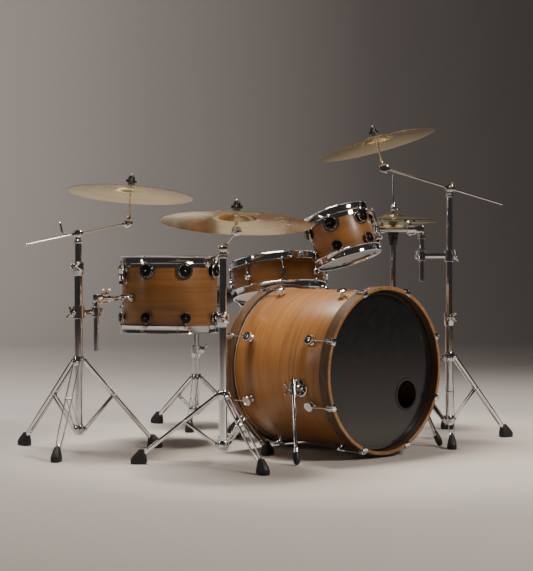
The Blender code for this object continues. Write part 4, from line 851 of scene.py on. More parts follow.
def tom_arm(name, stand, bar_height, hang, axis, tom_radius, rod_out, rod_low, tube, drop=0.0):
    """The two-jawed clamp on the stand, and the bent rod it grips."""
    away = Vector((hang.x - stand[0], hang.y - stand[1], 0))
    reach = away.length
    base = axes((*stand, bar_height), Z, away)
    ring = lathe(mm(0.6, -22, 6.4, -22, 7.6, -20.6, 7.6, 20.6, 6.4, 22, 0.6, 22, at=(tube, 0)), 36, True)
    small = lathe(mm(9.6, -17.6, 15, -17.6, 16.2, -16.2, 16.2, 16.2, 15, 17.6, 9.6, 17.6), 36, True)
    chrome = [ring, carried(small, Matrix.Translation((rod_out, 0, 0)))]
    left, right = tube + 0.005, rod_out - 0.0138
    chrome += [slab(((left + right) / 2, 0, 0), (right - left + 0.004, 0.016, 0.019), 0.0028),
        slab(((left + right) / 2, 0, 0), (right - left - 0.004, 0.0192, 0.01), 0.0022)]
    for x, wide in ((-tube - 0.01, 1), (rod_out + 0.0185, -1)):
        for side in (-1, 1):
            chrome.append(slab((x, side * 0.0042, 0), (0.014, 0.0052, 0.03 if wide > 0 else 0.026), 0.0014))
        chrome += [rod((x, -0.013, 0), (x, 0.012, 0), 0.0034, 14), bolt((x, -0.0068, 0), -Y, 0.0058, 0.0055),
            *wing_nut((x, 0.007, 0), Y, (0.3, 0, 0.95), 0.034, 0.01)]
    put(name + "_clamp", [(CHROME, chrome)], base)
    stem = axes(held(base, rod_out, 0, 0), Z, away)
    elbow = hang.z - bar_height
    slant = Vector(axis).normalized().dot(away.normalized())
    tip = reach - rod_out - (tom_radius + 0.0075) / math.sqrt(1 - slant * slant) - 0.006 - 0.004
    low_end = rod_low - bar_height
    chrome = [pipe([(0, 0, low_end), (0, 0, elbow), (tip, 0, elbow)], 0.009, 24, 0.02),
        rod((0, 0, low_end - 0.001), (0, 0, low_end + 0.004), 0.0092, 24)]
    lock = lathe(mm(9.2, 18.6, 14.2, 18.6, 15, 19.6, 15, 26.2, 14.2, 27.2, 9.2, 27.2), 32, True)
    if not drop:
        chrome.append(lock)
    barrel = mm(9.2, 0, 15, 0, 16.4, 1.4, 16.4, 9, 15, 10.4, 15, 23.6, 16.4, 25, 16.4, 33.6, 15, 35, 9.2, 35)
    chrome.append(spun(barrel, (0.022, 0, elbow), (0.06, 0, elbow), 36, True))
    neck = min(0.021, elbow - 0.014 - 0.019 - drop)
    chrome += [carried(lathe(barrel, 36, True), Matrix.Translation((0, 0, elbow - 0.014))
        @ Matrix.Rotation(math.pi, 4, "X") @ Matrix.Scale(neck / 0.035, 4, Z)),
        slab((0.01, 0, elbow + 0.0015), (0.034, 0.025, 0.029), 0.0055, segments=3),
        slab((0.04, 0, elbow + 0.016), (0.026, 0.016, 0.007), 0.0018),
        slab((0.04, 0, elbow - 0.016), (0.026, 0.016, 0.007), 0.0018),
        bolt((0.046, 0, elbow - 0.019), -Z, 0.0052, 0.005), *wing_nut((0.046, 0, elbow + 0.019), Z, X, 0.032,
        0.007, 0.0052)]
    put(name + "_rod", [(CHROME, chrome)], stem)


FLOOR_AXIS, RACK_AXIS = (0.011, 0.01, 1.0), (-0.081, 0.326, 0.942)
hang = tom("floor_tom", (-0.247, 0.613, 0.56), FLOOR_AXIS, LEFT, 0.179, 0.268, around(8, 21.8),
    (0.046, 0.0485), -0.01, (0.0222, 0.0192))
tom_arm("floor_tom_arm", LEFT, 0.502, hang, FLOOR_AXIS, 0.179, 0.078, 0.36, BASE_TUBE, 0.0125)
hang = tom("rack_tom", (0.235, 0.1725, 0.779), RACK_AXIS, RIGHT, 0.117, 0.175, around(6, 28.1),
    (0.048, 0.039), 0.027, (0.0222, 0.0192))
tom_arm("rack_tom_arm", RIGHT, 0.705, hang, RACK_AXIS, 0.117, 0.106, 0.61, UPPER_TUBE)


# ------------------------------------------------------------------ cymbals and their stands

def cymbal(node, radius, crown, matrix):
    """A lathed cymbal: bell, bow and a slightly thickened, darker edge."""
    bell = radius * 0.28
    top = [(0.006, 0.0), (bell * 0.2, -crown * 0.005), (bell * 0.42, -crown * 0.045),
        (bell * 0.62, -crown * 0.135), (bell * 0.8, -crown * 0.275), (bell * 0.92, -crown * 0.41),
        (bell * 0.985, -crown * 0.495), (bell * 1.05, -crown * 0.528)]
    for k in range(1, 15):
        t = k / 14
        top.append((bell * 1.05 + (radius - bell * 1.05) * t, -crown * (0.528 + 0.472
            * (0.7 * t + 0.3 * t * t))))
    under = [(r, z - SHEET) for r, z in reversed(top)]
    rim = lathe(mm(-0.6, 0.1, 0.4, -0.4, at=(radius, -crown)) + mm(0.4, 0.4, -0.6, -0.1,
        at=(radius, -crown - SHEET)), 160, True)
    top[-1] = (radius - 0.0007, top[-1][1])
    under[0] = (radius - 0.0007, under[0][1])
    put(node, [(BRONZE, [lathe(top + under, 160, True)]), (RIM, [rim])], matrix, 60)


def boom_stand(name, place, legs, reach, collar, low_z, tube_top, pivot, boom_way, rise, boom, tail, stem,
        axis, radius, crown, cymbal_node, screw_angle):
    """A braced tripod, upper tube, tilter, boom and the cymbal's seat."""
    stand_base(name + "_base", place, legs, reach, collar, low_z, tube_top, screw_angle)
    flat = Vector((*boom_way, 0)).normalized()
    upper = axes((*place, tube_top), Z, flat)
    top = pivot - tube_top
    pole = post(top - 0.026)
    cap = lathe(mm(0, -34, at=(0, top)) + mm(2, -34, 2.6, -31, 2.6, -24, -1.6, -19.5, at=(UPPER_TUBE, top))
        + mm(0, -19.5, at=(0, top)), 36)
    neck = slab((0, 0, top - 0.0165), (0.021, 0.0112, 0.023), 0.003)
    hub = mm(0, -6, 12.8, -6, 14.6, -4.6, 14.8, -1.8, 13.6, -1, 13.6, 1, 14.8, 1.8, 14.6, 5.2, 12.8, 6, 0, 6)

    def hinge_hub(centre, way):
        return spun(hub, centre, Vector(centre) + Vector(way), 36)
    put(name + "_upper_tube", [(CHROME, [pole, cap, neck, hinge_hub((0, 0, top), Y)])], upper)
    slope = math.radians(rise)
    way = flat * math.cos(slope) + Z * math.sin(slope)
    arm = axes((*place, pivot), Z - way * way.z, way)
    line = HUB_W + GAP
    end = Vector((boom, line, 0))
    up = Vector(axis).normalized()
    hinge = up.cross(way).normalized()
    here = arm.inverted().to_3x3() @ hinge
    chrome = [hinge_hub((0, line, 0), Y), rod((-tail, line, 0), end - X * 0.01, 0.003, 18, 0.0006, 0.0038),
        slab((0, line, 0), (0.04, 0.0115, 0.0135), 0.0026), spun([(r * 1.15, h * 1.2) for r, h in hub], end,
        end + here, 40), slab(end - X * 0.015, (0.016, 0.01, 0.012), 0.0018)]
    chrome.append(spun(mm(0, 0, 5.6, 0, 6.6, 1.4, 6.6, 12, 5, 13.6, 0, 13.6), (0, line + 0.005, 0),
        (0, line + 1, 0), 20))
    if name == "left_stand":
        chrome += [pipe([(-0.004, line + 0.016, 0), (-0.05, line + 0.016, 0.004),
            (-0.052, line + 0.016, 0.056)], 0.0034, 16, 0.01), rod((-0.052, line + 0.016, 0.016),
            (-0.052, line + 0.016, 0.054), 0.0048, 18)]
    else:
        chrome += wing_nut((0, line + 0.017, 0), Y, Z, 0.044, 0.008, 0.0058)
    chrome.append(rod((-tail - 0.001, line, 0), (-tail + 0.004, line, 0), 0.0036, 18))
    put(name + "_boom_arm", [(CHROME, chrome)], arm)
    seat_place = arm @ end - hinge * (HUB_W + GAP)
    seat = axes(seat_place, up, way)
    low_felt = stem - SHEET - 0.0022
    high_felt = stem + 0.0022
    nut = high_felt + 0.008
    chrome = [hinge_hub((0, 0, 0), Y), spun(mm(0, 10, 5.6, 10, 6.2, 14, 6.2, 26, 4.6, 32, 3.6, 34, 3.2, 36)
        + mm(3.2, -12, 0, -12, at=(0, low_felt)), (0, 0, 0), (0, 0, 1), 20),
        lathe(mm(0, -12.5, 7, -12.5, 12.5, -10, 12.5, -8.2, 0, -8.2, at=(0, low_felt)), 28),
        rod((0, 0, low_felt - 0.009), (0, 0, nut + 0.031), 0.0031, 16),
        slab((0, 0.0, 0.0125), (0.011, 0.01, 0.011), 0.0018)]
    chrome += [spun(mm(0, 0, 5.2, 0, 6, 1, 6, 7, 0, 8), (0, -0.0056, 0), (0, -1, 0), 18),
        *wing_nut((0, -0.013, 0), -Y, (0.5, 0, 0.85), 0.03, 0.006, 0.005)]
    felts = [lathe(mm(0, -8, 12, -8, 13.5, -6.4, 13.3, -1.2, 11.2, 0, 0, 0, at=(0, low_felt)), 36),
        lathe(mm(0, 0, 11.2, 0, 13.3, 1.2, 13.5, 6.6, 12, 8, 0, 8, at=(0, high_felt)), 36)]
    grips = mm(0, 0.4, 12.8, 0.4, 13.4, 1.4, at=(0, nut))
    for k in range(5):
        grips += [(0.0134 - 0.0008 * k, nut + 0.0026 + k * 0.0028), (0.0116 - 0.0008 * k, nut + 0.0032 + k
            * 0.0028), (0.0116 - 0.0008 * k, nut + 0.004 + k * 0.0028),
            (0.0134 - 0.0008 * k, nut + 0.0046 + k * 0.0028)]
    grips += mm(10.2, 18, 9.8, 23.5, 8.4, 25.4, 0, 25.6, at=(0, nut))
    wings = [slab((0, 0, nut + 0.0064), (0.04, 0.008, 0.011), 0.003),
        slab((0, 0, nut + 0.016), (0.025, 0.0076, 0.011), 0.0028)]
    put(name + "_cymbal_seat", [(CHROME, chrome), (FELT, felts), (PLASTIC, [lathe(grips, 32)] + wings)], seat)
    cymbal(cymbal_node, radius, crown, axes(seat_place + up * stem, up))


boom_stand("left_stand", LEFT, (97.1, 217.1, 337.1), 0.315, 0.328, 0.081, 0.68, 0.785, (0.9, -0.43), 12.0,
    0.19, 0.19, 0.138, (0.128, 0.04, 0.99), 0.2286, 0.034, "left_crash", 200)
boom_stand("ride_stand", RIDE, (134.2, 254.2, 14.2), 0.315, 0.236, 0.066, 0.511, 0.733, (0.718, -0.695), 52.0,
    0.075, 0.045, 0.064, (0.125, 0.072, 0.99), 0.259, 0.04, "ride", 205)
boom_stand("right_stand", RIGHT, (-138.0, -18.0, 102.0), 0.29, 0.321, 0.081, 0.485, 0.961, (-0.718, 0.695),
    17.0, 0.262, 0.208, 0.128, (-0.124, 0.231, 0.965), 0.2286, 0.034, "right_crash", 215)


# ------------------------------------------------------------------ hi-hat

def footboard(node, place, way, length):
    """A ribbed pedal board on its heel hinge, toe raised."""
    matrix = axes(place, Z, way)
    rise = math.tan(math.radians(15)) * length
    toe = Vector((-length, 0, rise))
    slope = toe.normalized()
    start = slope * 0.004
    turn = Matrix((-slope, Y, Y.cross(slope).normalized())).transposed().to_4x4()
    middle = (start + toe) / 2
    long = (toe - start).length
    outline = []
    for x, y in ((-0.5, 0.3), (-0.47, 0.4), (-0.3, 0.43), (0.1, 0.4), (0.45, 0.34), (0.5, 0.3)):
        outline.append((x * long, y * 0.09))
    outline += [(x, -y) for x, y in reversed(outline)]
    chrome = [plate(outline, 0.0042, Matrix.Translation(middle) @ turn)]
    dark = []
    for k in range(11):
        x = (-0.4 + 0.075 * k) * long
        wide = 0.058 - 0.0008 * k
        dark.append(slab(middle + (held(turn, x, 0, 0.0028)), (0.005, wide, 0.0016), 0.0006, turn))
    chrome.append(rod(Vector((0.0, -0.03, 0.0)) + start, Vector((0.0, 0.03, 0.0)) + start, 0.0034, 18))
    put(node, [(SATIN, chrome), (RUBBER, dark)], matrix)


def heel_plate(length):
    """The floor plate of a pedal with its heel block. Local X runs from toe to heel."""
    outline = mm(0, -34, 20, -42) + mm(-12, -45, 0, -38, 0, 38, -12, 45, at=(length, 0)) + mm(20, 42, 0, 34)
    steel = [plate(outline, 0.0046, Matrix.Translation((0, 0, 0.0026)))]
    heel = [slab((length - 0.025, 0, 0.0073), (0.046, 0.086, 0.0054), 0.0018)]
    for k in range(4):
        heel.append(slab((length - 0.04 + 0.01 * k, 0, 0.0104), (0.004, 0.06, 0.0014), 0.0005))
    for side in (-1, 1):
        steel.append(slab((length - 0.05, side * 0.034, 0.0125), (0.012, 0.007, 0.015), 0.0016))
    steel.append(rod((length - 0.05, -0.036, 0.016), (length - 0.05, 0.036, 0.016), 0.003, 16))
    return steel, heel


def hi_hat():
    """Three-legged stand with its footboard, cup, pull rod, clutch and the two cymbals."""
    place = (0.703, 0.33)
    way = (-0.648, 0.762, 0)
    base = axes((*place, 0), Z, way)
    chrome, rubber = tripod((75.0, 180.0, 285.0), 0.25, 0.25, 0.08)
    low_hole, high_hole = 0.844 - 0.005 - 0.025, 0.844 + 0.005 + 0.025
    cup = low_hole - SHEET - GAP
    chrome += [tube(0.0045, BASE_TUBE, 0.008, 0.394, 36), tube(0.0045, 0.011, 0.39, 0.755)]
    clamp = clamp_ring(0.0114, 0.03, 0.388, 205, 0.008, 0.018)
    black = [lathe(mm(11.2, 745, 15, 745, 16.5, 747, 16.5, 756, 17.5, 757.5, 17.5, 769, 19, 770.5, 19, 783,
        21, 785, 21.6, 790, 21.6, 800, 20.5, 802, 11.2, 802), 44, True)]
    felt = [lathe(mm(4.5, 802.4, 18, 802.4, 18.8, 804) + mm(17.5, -1, 16.5, 0, 4.5, 0, at=(0, cup)), 40,
        True)]
    steel, heel = heel_plate(0.3)
    for side in (-1, 1):
        chrome.append(slab((0.03, side * 0.019, 0.03), (0.012, 0.006, 0.05), 0.0014))
    put("hi_hat_base", [(CHROME, chrome + clamp), (RUBBER, rubber + heel), (SATIN, steel), (PLASTIC, black),
        (FELT, felt)], base)
    cymbal("hi_hat_bottom", 0.177, 0.025, axes((*place, low_hole), (0, 0, -1)))
    cymbal("hi_hat_top", 0.177, 0.025, axes((*place, high_hole)))
    clutch = high_hole - SHEET - GAP - 0.012
    chrome = [rod((0, 0, 0.12), (0, 0, 1.03), 0.003, 20), lathe(mm(3.1, 9.2, 7.2, 9.2, 8, 10.4, 8, 20.6, 9.6,
        21.6, 9.6, 34, 8, 36.2, 3.1, 36.2, at=(0, high_hole)), 32, True)]
    chrome += wing_nut((0.009, 0, high_hole + 0.028), X, (0, 0.6, 0.8), 0.03, 0.007, 0.005)
    lower = [lathe(mm(3.1, 0, 9.6, 0, 11, 1.2, 11, 6, 3.1, 6, at=(0, clutch)), 12, True)]
    felts = [lathe(mm(3.1, 6.4, 10, 6.4, 10.8, 8, 10.4, 11.8, 3.1, 11.8, at=(0, clutch)), 32, True),
        lathe(mm(3.1, 0.4, 10.4, 0.4, 11.2, 2, 10.8, 8.8, 3.1, 8.8, at=(0, high_hole)), 32, True)]
    put("hi_hat_pull_rod", [(CHROME, chrome + lower), (FELT, felts)], axes((*place, 0)))
    heel_x = 0.25
    footboard("hi_hat_footboard", held(base, heel_x, 0, 0.016), way, heel_x - 0.03)


hi_hat()


# ------------------------------------------------------------------ snare

def snare():
    """The snare drum with its strainer, held in a three-armed basket."""
    up = Vector((0.054, 0.201, 0.978)).normalized()
    centre = Vector((0.238, 0.521, 0.618))
    radius, depth = 0.178, 0.124
    half = depth / 2
    pivot = centre - up * (half + 0.0095 + 0.12)
    spot = (pivot.x, pivot.y)
    stand_base("snare_stand_base", spot, (0.0, 120.0, 240.0), 0.23, 0.23, 0.075, POST_Z, 60)
    stem = axes((*spot, POST_Z))
    top = pivot.z - POST_Z
    side = up.cross(Z).normalized()
    hub = mm(0, -6, 12.8, -6, 14.8, -4, 14.8, 4, 12.8, 6, 0, 6)
    centre_top = Vector((0, 0, top))
    put("snare_post", [(CHROME, [post(top - 0.02), lathe(mm(0, -28, at=(0, top))
        + mm(2, -28, 2, -19, -2, -15, at=(UPPER_TUBE, top)) + mm(0, -15, at=(0, top)), 36),
        spun(hub, centre_top, centre_top + side, 36), slab(centre_top - Z * 0.011, (0.01, 0.016, 0.014),
        0.002, axes((0, 0, 0), Z, side))])], stem)
    tilt = axes(pivot, up, up.cross(side))
    outer = radius + GAP + 0.0024 + GAP + 0.0023 + GAP * 4
    under = 0.12 - GAP
    chrome = [spun(hub, (0, 0.0123, 0), (0, 1, 0), 36), slab((0, 0.0123, 0.017), (0.014, 0.01, 0.03), 0.002),
        lathe(mm(0, 30, 15, 30, 19.2, 33, 19.2, 43, 15, 46, 0, 46), 40),
        spun(mm(0, 0, 5.6, 0, 6.6, 1.6, 6.6, 9, 0, 10), (0, 0.0185, 0), (0, 1, 0), 20)]
    chrome += [*wing_nut((0, 0.027, 0), Y, X, 0.036, 0.008), rod((0, 0, 0.012), (0, 0, 0.031), 0.0075, 20)]
    rubber = []
    for angle in (29.5, 149.5, 269.5):
        turn = turned(angle)
        start, end = Vector((0.01, 0, 0.038)), Vector((outer + 0.005, 0, under - 0.007))
        for y in (-0.0042, 0.0042):
            chrome.append(carried(pipe([start + Y * y, Vector((outer * 0.55, y, 0.05)), end + Y * y], 0.0034,
                14, 0.05), turn))
        chrome += [carried(rod(end - Y * 0.009, end + Y * 0.009, 0.0046, 18), turn),
            carried(pipe([end, Vector((outer + 0.0056, 0, under - 0.001)),
            Vector((outer + 0.0048, 0, under + 0.01))], 0.0042, 14, 0.008), turn)]
        rubber += [carried(slab((outer + 0.0062, 0, under + 0.001), (0.009, 0.0135, 0.02), 0.003), turn),
            carried(slab((outer - 0.003, 0, under - 0.0055), (0.02, 0.0135, 0.008), 0.003), turn)]
    put("snare_basket", [(CHROME, chrome), (RUBBER, rubber)], tilt)
    matrix = axes(centre, up)
    shell("snare_shell", radius, depth, 0.006, matrix, 7.0 + 67.5)
    head("snare_batter_head", WHITESKIN, radius, depth, 1, matrix)
    head("snare_resonant_head", WHITESKIN, radius, depth, -1, matrix)
    snare_hoops(radius, depth, matrix)
    lever_turn = turned(119.5)
    place = matrix @ held(lever_turn, radius + 0.016, 0, -0.02)
    outward = matrix.to_3x3() @ lever_turn.to_3x3() @ X
    outline = mm(-6.2, -4, -5.5, -5.5, 5.5, -5.5, 6.2, -4, 6.2, 34, 7, 46, 5.6, 52, -5.6, 52, -7, 46, -6.2,
        34)
    face = Matrix(((0, 0, 1, 0), (1, 0, 0, 0), (0, 1, 0, 0), (0, 0, 0, 1)))
    lever = [plate(outline, 0.0036, face), spun(mm(0, -7, 4.4, -7, 5, -6, 5, 6, 4.4, 7, 0, 7), (0, 0, 0),
        (0, 1, 0), 24)]
    put("snare_lever", [(CHROME, lever), (RUBBER, [slab((0.0024, 0, 0.04), (0.0016, 0.011, 0.018), 0.0006)])],
        axes(place, up, outward))


def snare_hoops(radius, depth, matrix):
    """Silver hoops, scalloped below, with the tube lugs in the middle of the shell."""
    half = depth / 2
    for node, side, phase in (("snare_top_hoop", 1, 7.0), ("snare_bottom_hoop", -1, -7.0)):
        inner = radius + 0.003
        outer = inner + 0.0023
        top, low_z = half + 0.0095, half - 0.02
        angles = around(8, phase)
        chrome = [lathe([(inner, top - 0.0012), (inner + 0.0006, top), (outer + 0.0024, top),
            (outer + 0.0032, top - 0.001), (outer + 0.0026, top - 0.0022), (outer, top - 0.004),
            (outer, low_z + 0.004), (outer + 0.0008, low_z + 0.0026), (outer + 0.0046, low_z + 0.0022),
            (outer + 0.005, low_z + 0.0008), (outer + 0.0044, low_z), (inner, low_z)], 144, True)]
        circle = radius + GAP + 0.0108
        reach = circle + 0.005 - outer
        for angle in angles:
            turn = turned(angle)
            outline = [(outer - 0.001, -0.018), (outer + reach * 0.35, -0.015),
                (outer + reach * 0.75, -0.008), (outer + reach * 0.95, -0.004), (outer + reach, 0.0),
                (outer + reach * 0.95, 0.004), (outer + reach * 0.75, 0.008), (outer + reach * 0.35, 0.015),
                (outer - 0.001, 0.018)]
            chrome += [plate(outline, 0.0024, turn @ Matrix.Translation((0, 0, low_z + 0.0012))),
                plate(mm(-13, 0, -9, -5, 9, -5, 13, 0), 0.002, turn @ Matrix(((0, 0, 1, outer + 0.0002),
                (1, 0, 0, 0), (0, 1, 0, low_z), (0, 0, 0, 1))))]
            seat = held(turn, circle, 0, low_z + 0.0025)
            chrome += [spun(mm(0, 0, 5.2, 0, 5.2, 1.1, 3.8, 3, 0, 3.2), seat, seat + Z, 20),
                slab(seat + Z * 0.006, (0.0052, 0.0052, 0.006), 0.0007, turn)]
            stop = -0.0105 + 0.01 if side > 0 else 0.0275
            chrome.append(rod(seat - Z * 0.001, held(turn, circle, 0, stop), 0.0028, 16))
            if side > 0:
                disc = mm(0, 0.4, 9, 0.4, 9.4, 1.4, 6.6, 3, 6.6, 6, 10.8, 7.4, 12.8, 8.6, 13, 15, 11.8, 17, 8,
                    17.8, 7.6, 17.2, 4.4, 17.2, 4, 18, 0, 18.4)
                chrome += [radial(disc, angle, radius, -0.0105, 36), rod(held(turn, circle, 0, 0.008),
                    held(turn, circle, 0, -0.023), 0.0044, 20)]
        dark = []
        if side < 0:
            strainer = turned(-119.5)
            mid = half - 0.0375
            chrome += [slab(held(strainer, radius + 0.0052, 0, mid), (0.0096, 0.021, 0.036), 0.002, strainer),
                slab(held(strainer, radius + 0.01, 0, mid + 0.008), (0.003, 0.015, 0.016), 0.001, strainer),
                bolt(held(strainer, radius + 0.01, 0, mid - 0.012), strainer @ X, 0.003, 0.0026)]
            dark = [rod(held(strainer, radius + 0.005, 0, mid - 0.024),
                held(strainer, radius + 0.005, 0, mid - 0.017), 0.0062, 24)]
        put(node, [(CHROME, chrome), (DARK, dark)], matrix @ flip(side))


snare()


# ------------------------------------------------------------------ bass drum pedal

def kick_pedal():
    """Frame with two posts, cam and felt beater, and the ribbed board."""
    front = BASS_D / 2 + HOOP_RISE + 0.004 + 0.0055
    base = axes((0, front, 0))
    quarter = turned(90)
    steel, heel = heel_plate(0.3)
    steel = [carried(piece, quarter) for piece in steel]
    heel = [carried(piece, quarter) for piece in heel]
    chrome = []
    for side in (-1, 1):
        x = side * 0.049
        chrome += [bar((x, 0.05, 0.0), (x, 0.05, 0.196), 0.0105, 0.019, X, 0.0024),
            spun(mm(5.8, 0, 10, 0, 11.2, 1.2, 11.2, 9.8, 10, 11, 5.8, 11), (x - 0.0055, 0.05, 0.205),
            (x + 0.0055, 0.05, 0.205), 36, True), slab((x, 0.05, 0.008), (0.011, 0.03, 0.014), 0.002)]
    chrome += [slab((0, 0.012, 0.007), (0.06, 0.022, 0.008), 0.002), *wing_nut((0.036, 0.012, 0.01), Z, X,
        0.026, 0.008)]
    put("kick_pedal_frame", [(SATIN, steel), (CHROME, chrome), (RUBBER, heel)], base)
    axle = held(base, 0, 0.05, 0.205)
    back = math.radians(35)
    swing = axes(axle, (0, math.sin(back), math.cos(back)))
    half = 0.045 + 0.008
    chrome = [rod((-half, 0, 0), (half, 0, 0), 0.005, 6, 0.0004), rod((0, 0, -0.01), (0, 0, 0.146), 0.0034,
        18), spun(mm(5.2, -14, 11.5, -14, 12.2, -12, 12.2, -6, 9, -4, 9, 4, 12.2, 6, 12.2, 12, 11.5, 14, 5.2,
        14), (0, 0, 0), (1, 0, 0), 32)]
    chrome.append(slab((0, 0, 0.018), (0.012, 0.012, 0.02), 0.002))
    felt = [spun(mm(0, -24, 16, -24, 21.5, -21.5, 23.8, -17, 24, 17, 21.5, 21.5, 16, 24, 0, 24), (0, 0, 0.15),
        (0, 1, 0.15), 40)]
    put("kick_beater", [(CHROME, chrome), (GRIP, felt)], swing)
    footboard("kick_footboard", held(base, 0, 0.25, 0.016), (0, 1, 0), 0.25 - 0.055)


kick_pedal()


# ------------------------------------------------------------------ throne

SEAT_R, SEAT_H, SEAT_TOP = 0.165, 0.085, 0.579


def swell(pad, cap):
    """Blow the pad up as cloth, keeping each point within cap of where it began."""
    start = [v.co.copy() for v in pad.data.vertices]
    scene = bpy.context.scene
    cloth = pad.modifiers.new("swell", "CLOTH")
    cloth.settings.use_pressure = True
    cloth.settings.uniform_pressure_force = 4.0
    cloth.settings.effector_weights.gravity = 0.0
    cloth.settings.tension_stiffness = 25.0
    cloth.settings.compression_stiffness = 25.0
    cloth.settings.bending_stiffness = 4.0
    cloth.settings.quality = 5
    cloth.point_cache.frame_end = 20
    for step in range(1, 21):
        scene.frame_set(step)
    graph = bpy.context.evaluated_depsgraph_get()
    done = [v.co.copy() for v in pad.evaluated_get(graph).data.vertices]
    pad.modifiers.remove(cloth)
    scene.frame_set(1)
    for vertex, old, new in zip(pad.data.vertices, start, done):
        move = new - old
        if move.length > cap:
            move = move.normalized() * cap
        vertex.co = old + move


def throne():
    """Low tripod, post and a round padded seat with piping and two sewn channels."""
    place = (0.18, 0.945)
    stand_base("throne_base", place, (101.0, 221.0, 341.0), 0.235, 0.2, 0.07, POST_Z, 300)
    under = SEAT_TOP - SEAT_H - POST_Z
    flange = mm(0, -15, 20, -15, 24, -11, 52, -8, 60, -4.5, 60, -0.4, 0, -0.4, at=(0, under))
    chrome = [post(under - 0.01), lathe(flange, 56)]
    chrome.append(lathe(mm(0.2, -48, at=(UPPER_TUBE, under)) + mm(16.5, -46, 18, -40, 18, -18, at=(0, under))
        + mm(0.2, -16, at=(UPPER_TUBE, under)), 36, True))
    put("throne_post", [(CHROME, chrome)], axes((*place, POST_Z)))
    seat = axes((*place, SEAT_TOP - SEAT_H))
    profile = mm(0, 78.5, 60, 78.2, 110, 77, 138, 74.5, 150, 70, 157, 63, 159, 52, 159, 30, 156, 18, 148, 11,
        120, 7, 0, 6.4)
    soft = lathe(profile, 96)
    pad = put("throne_seat", [(VINYL, [soft])], seat, 80)[0]
    remesh = pad.modifiers.new("even", "REMESH")
    remesh.mode = "VOXEL"
    remesh.voxel_size = 0.005
    graph = bpy.context.evaluated_depsgraph_get()
    mesh = bpy.data.meshes.new_from_object(pad.evaluated_get(graph))
    mesh.name = "throne_seat_pad"
    pad.modifiers.remove(remesh)
    pad.data = mesh
    swell(pad, 0.007)
    for vertex in pad.data.vertices:
        point = vertex.co
        reach = math.hypot(point.x, point.y)
        point.z = max(min(point.z, SEAT_H - 0.0005), 0.003)
        if reach > SEAT_R - 0.0015:
            shrink = (SEAT_R - 0.0015) / reach
            point.x *= shrink
            point.y *= shrink
        for ring, width, dip in ((0.128, 0.005, 0.0034), (0.06, 0.0048, 0.0026)):
            if point.z > 0.06:
                point.z -= dip * math.exp(-((reach - ring) / width) ** 2)
        if 0.012 < point.z < 0.07 and reach > 0.14:
            pull = 0.0022 * math.exp(-((point.z - 0.0235) / 0.004) ** 2)
            point.x -= point.x / reach * pull
            point.y -= point.y / reach * pull
    pad.data.materials.clear()
    pad.data.materials.append(VINYL)
    smooth = pad.modifiers.new("smooth", "SUBSURF")
    smooth.levels = smooth.render_levels = 1
    pad.data.shade_smooth()
    piping = []
    for height, reach in ((0.0235, 0.1605), (0.069, 0.1555)):
        piping.append(lathe([(reach + 0.0024 * math.cos(t * math.pi / 5), height + 0.0024
            * math.sin(t * math.pi / 5)) for t in range(10)], 120, True))
    put("throne_seat", [(PIPING, piping), (PLASTIC, [lathe(mm(0, 0.2, 118, 0.2, 121, 2, 118, 5.2, 0, 5.2),
        96)])], seat, 40, "throne_seat_trim")


throne()


# ------------------------------------------------------------------ camera, light, backdrop

def camera():
    """The view from the audience, just above the bass drum's axis."""
    data = bpy.data.cameras.new("eye")
    data.sensor_fit = "VERTICAL"
    data.sensor_height = 36.0
    data.lens = FOCAL_PIXELS / IMAGE_HEIGHT * data.sensor_height
    data.clip_end = 60.0
    data.dof.use_dof = False
    eye = linked("eye", data)
    eye.location = ORIGIN + Vector(EYE)
    ahead = AHEAD * math.cos(EYE_DIP) - Z * math.sin(EYE_DIP)
    eye.rotation_euler = ahead.to_track_quat("-Z", "Y").to_euler()
    bpy.context.scene.camera = eye


def lamp(kind, name, place, target, power, colour, **settings):
    """A light at place, aimed at target and not seen itself."""
    data = bpy.data.lights.new(name, kind)
    data.energy, data.color = power, colour
    for key, value in settings.items():
        setattr(data, key, value)
    made = linked(name, data)
    made.location = ORIGIN + Vector(place)
    made.rotation_euler = (Vector(target) - Vector(place)).to_track_quat("-Z", "Y").to_euler()
    made.visible_camera = False


def soft_box(name, place, target, power, size, colour):
    lamp("AREA", name, place, target, power, colour, shape="RECTANGLE", size=size[0], size_y=size[1])


def beam(name, place, target, power, wide, blend, soft, colour):
    lamp("SPOT", name, place, target, power, colour, spot_size=math.radians(wide), spot_blend=blend,
        shadow_soft_size=soft)


def sweep(mat):
    start, bend, back, top, half = 6.6, 3.0, -13.0, 10.0, 15.0
    profile = [(back, 0.0), (0.0, 0.0), (start, 0.0)]
    for k in range(1, 25):
        turn = math.pi / 2 * k / 24
        profile.append((start + bend * math.sin(turn), bend - bend * math.cos(turn)))
    profile.append((start + bend, top))
    mesh = bmesh.new()
    rows = [[mesh.verts.new(ORIGIN + AHEAD * a + ASIDE * b + Z * h) for b in (-half, half)] for a,
        h in profile]
    for first, second in zip(rows, rows[1:]):
        mesh.faces.new((first[0], first[1], second[1], second[0]))
    data = bpy.data.meshes.new("studio_sweep")
    mesh.to_mesh(data)
    mesh.free()
    data.shade_smooth()
    data.materials.append(mat)
    linked("studio_sweep", data)


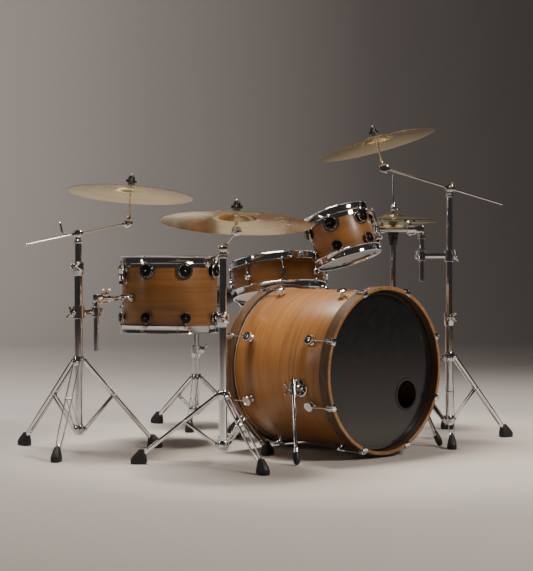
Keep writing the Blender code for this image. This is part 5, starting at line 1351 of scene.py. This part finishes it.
def paper(name, pale, painted_shade_tones):
    paint = Paint(name, Roughness=0.85)
    place = paint.add("TexCoord").outputs["Object"]

    def spread(way, low_end, high_end, kind):
        dot = paint.add("VectorMath", operation="DOT_PRODUCT")
        paint.link(place, dot.inputs[0])
        dot.inputs[1].default_value = way
        span = paint.add("MapRange", clamp=True, interpolation_type=kind)
        span.inputs["From Min"].default_value = ORIGIN.dot(way) + low_end
        span.inputs["From Max"].default_value = ORIGIN.dot(way) + high_end
        paint.link(dot.outputs["Value"], span.inputs["Value"])
        return span.outputs["Result"]
    # painted shade on the backdrop: its colour runs from light on one side to near black on the other, and
    # the pale floor blends into it farther back
    across = spread(ASIDE, -3.4, 3.4, "LINEAR")
    fade = spread(AHEAD, 0.9, 4.6, "SMOOTHSTEP")
    paint.mix("MIX", fade, paint.ramp(across, pale), paint.ramp(across, painted_shade_tones))
    return paint.mat


def studio():
    """A pale floor, a grey backdrop with painted shade that darkens it to one side, and soft lamps."""

    def at(ahead, right, height):
        return AHEAD * ahead + ASIDE * right + Z * height
    # painted shade: the backdrop's tones, light on one side and near black on the other
    painted_shade_tones = [(0.0, (0.62, 0.572, 0.545)), (0.3, (0.34, 0.308, 0.292)), (0.62, (0.128, 0.114, 0.107)),
        (0.8, (0.092, 0.082, 0.076)), (1.0, (0.074, 0.065, 0.059))]
    pale = [(0.0, (0.56, 0.51, 0.475)), (1.0, (0.58, 0.53, 0.495))]
    sweep(paper("studio_paper", pale, painted_shade_tones))
    soft_box("key", (0.6, -4.0, 3.6), (0.0, 0.2, 0.4), 150, (1.0, 1.0), (1.0, 0.94, 0.86))
    soft_box("left_edge", (-4.4, 2.0, 2.2), (0.0, 0.3, 0.7), 22, (0.35, 2.2), (1.0, 0.95, 0.9))
    soft_box("top", (-0.5, 1.0, 4.4), (0.0, 0.3, 0.4), 120, (1.6, 1.2), (1.0, 0.95, 0.88))
    soft_box("wall", at(1.5, -1.2, 5.6), at(9.3, -0.8, 0.6), 330, (2.6, 2.6), (1.0, 0.96, 0.93))
    beam("side_beam", (-3.3, -1.5, 1.75), (-0.26, 0.06, 0.44), 330, 10, 1.0, 0.12, (1.0, 0.88, 0.72))
    beam("pool", (0.25, 0.55, 4.6), (0.16, 0.0, 0.0), 520, 30, 0.12, 0.32, (1.0, 0.88, 0.74))
    world = bpy.data.worlds.new("studio_world")
    bpy.context.scene.world = world
    world.use_nodes = True
    sky = world.node_tree.nodes["Background"]
    sky.inputs["Color"].default_value = (0.5, 0.48, 0.47, 1)
    sky.inputs["Strength"].default_value = 0.06


camera()
studio()
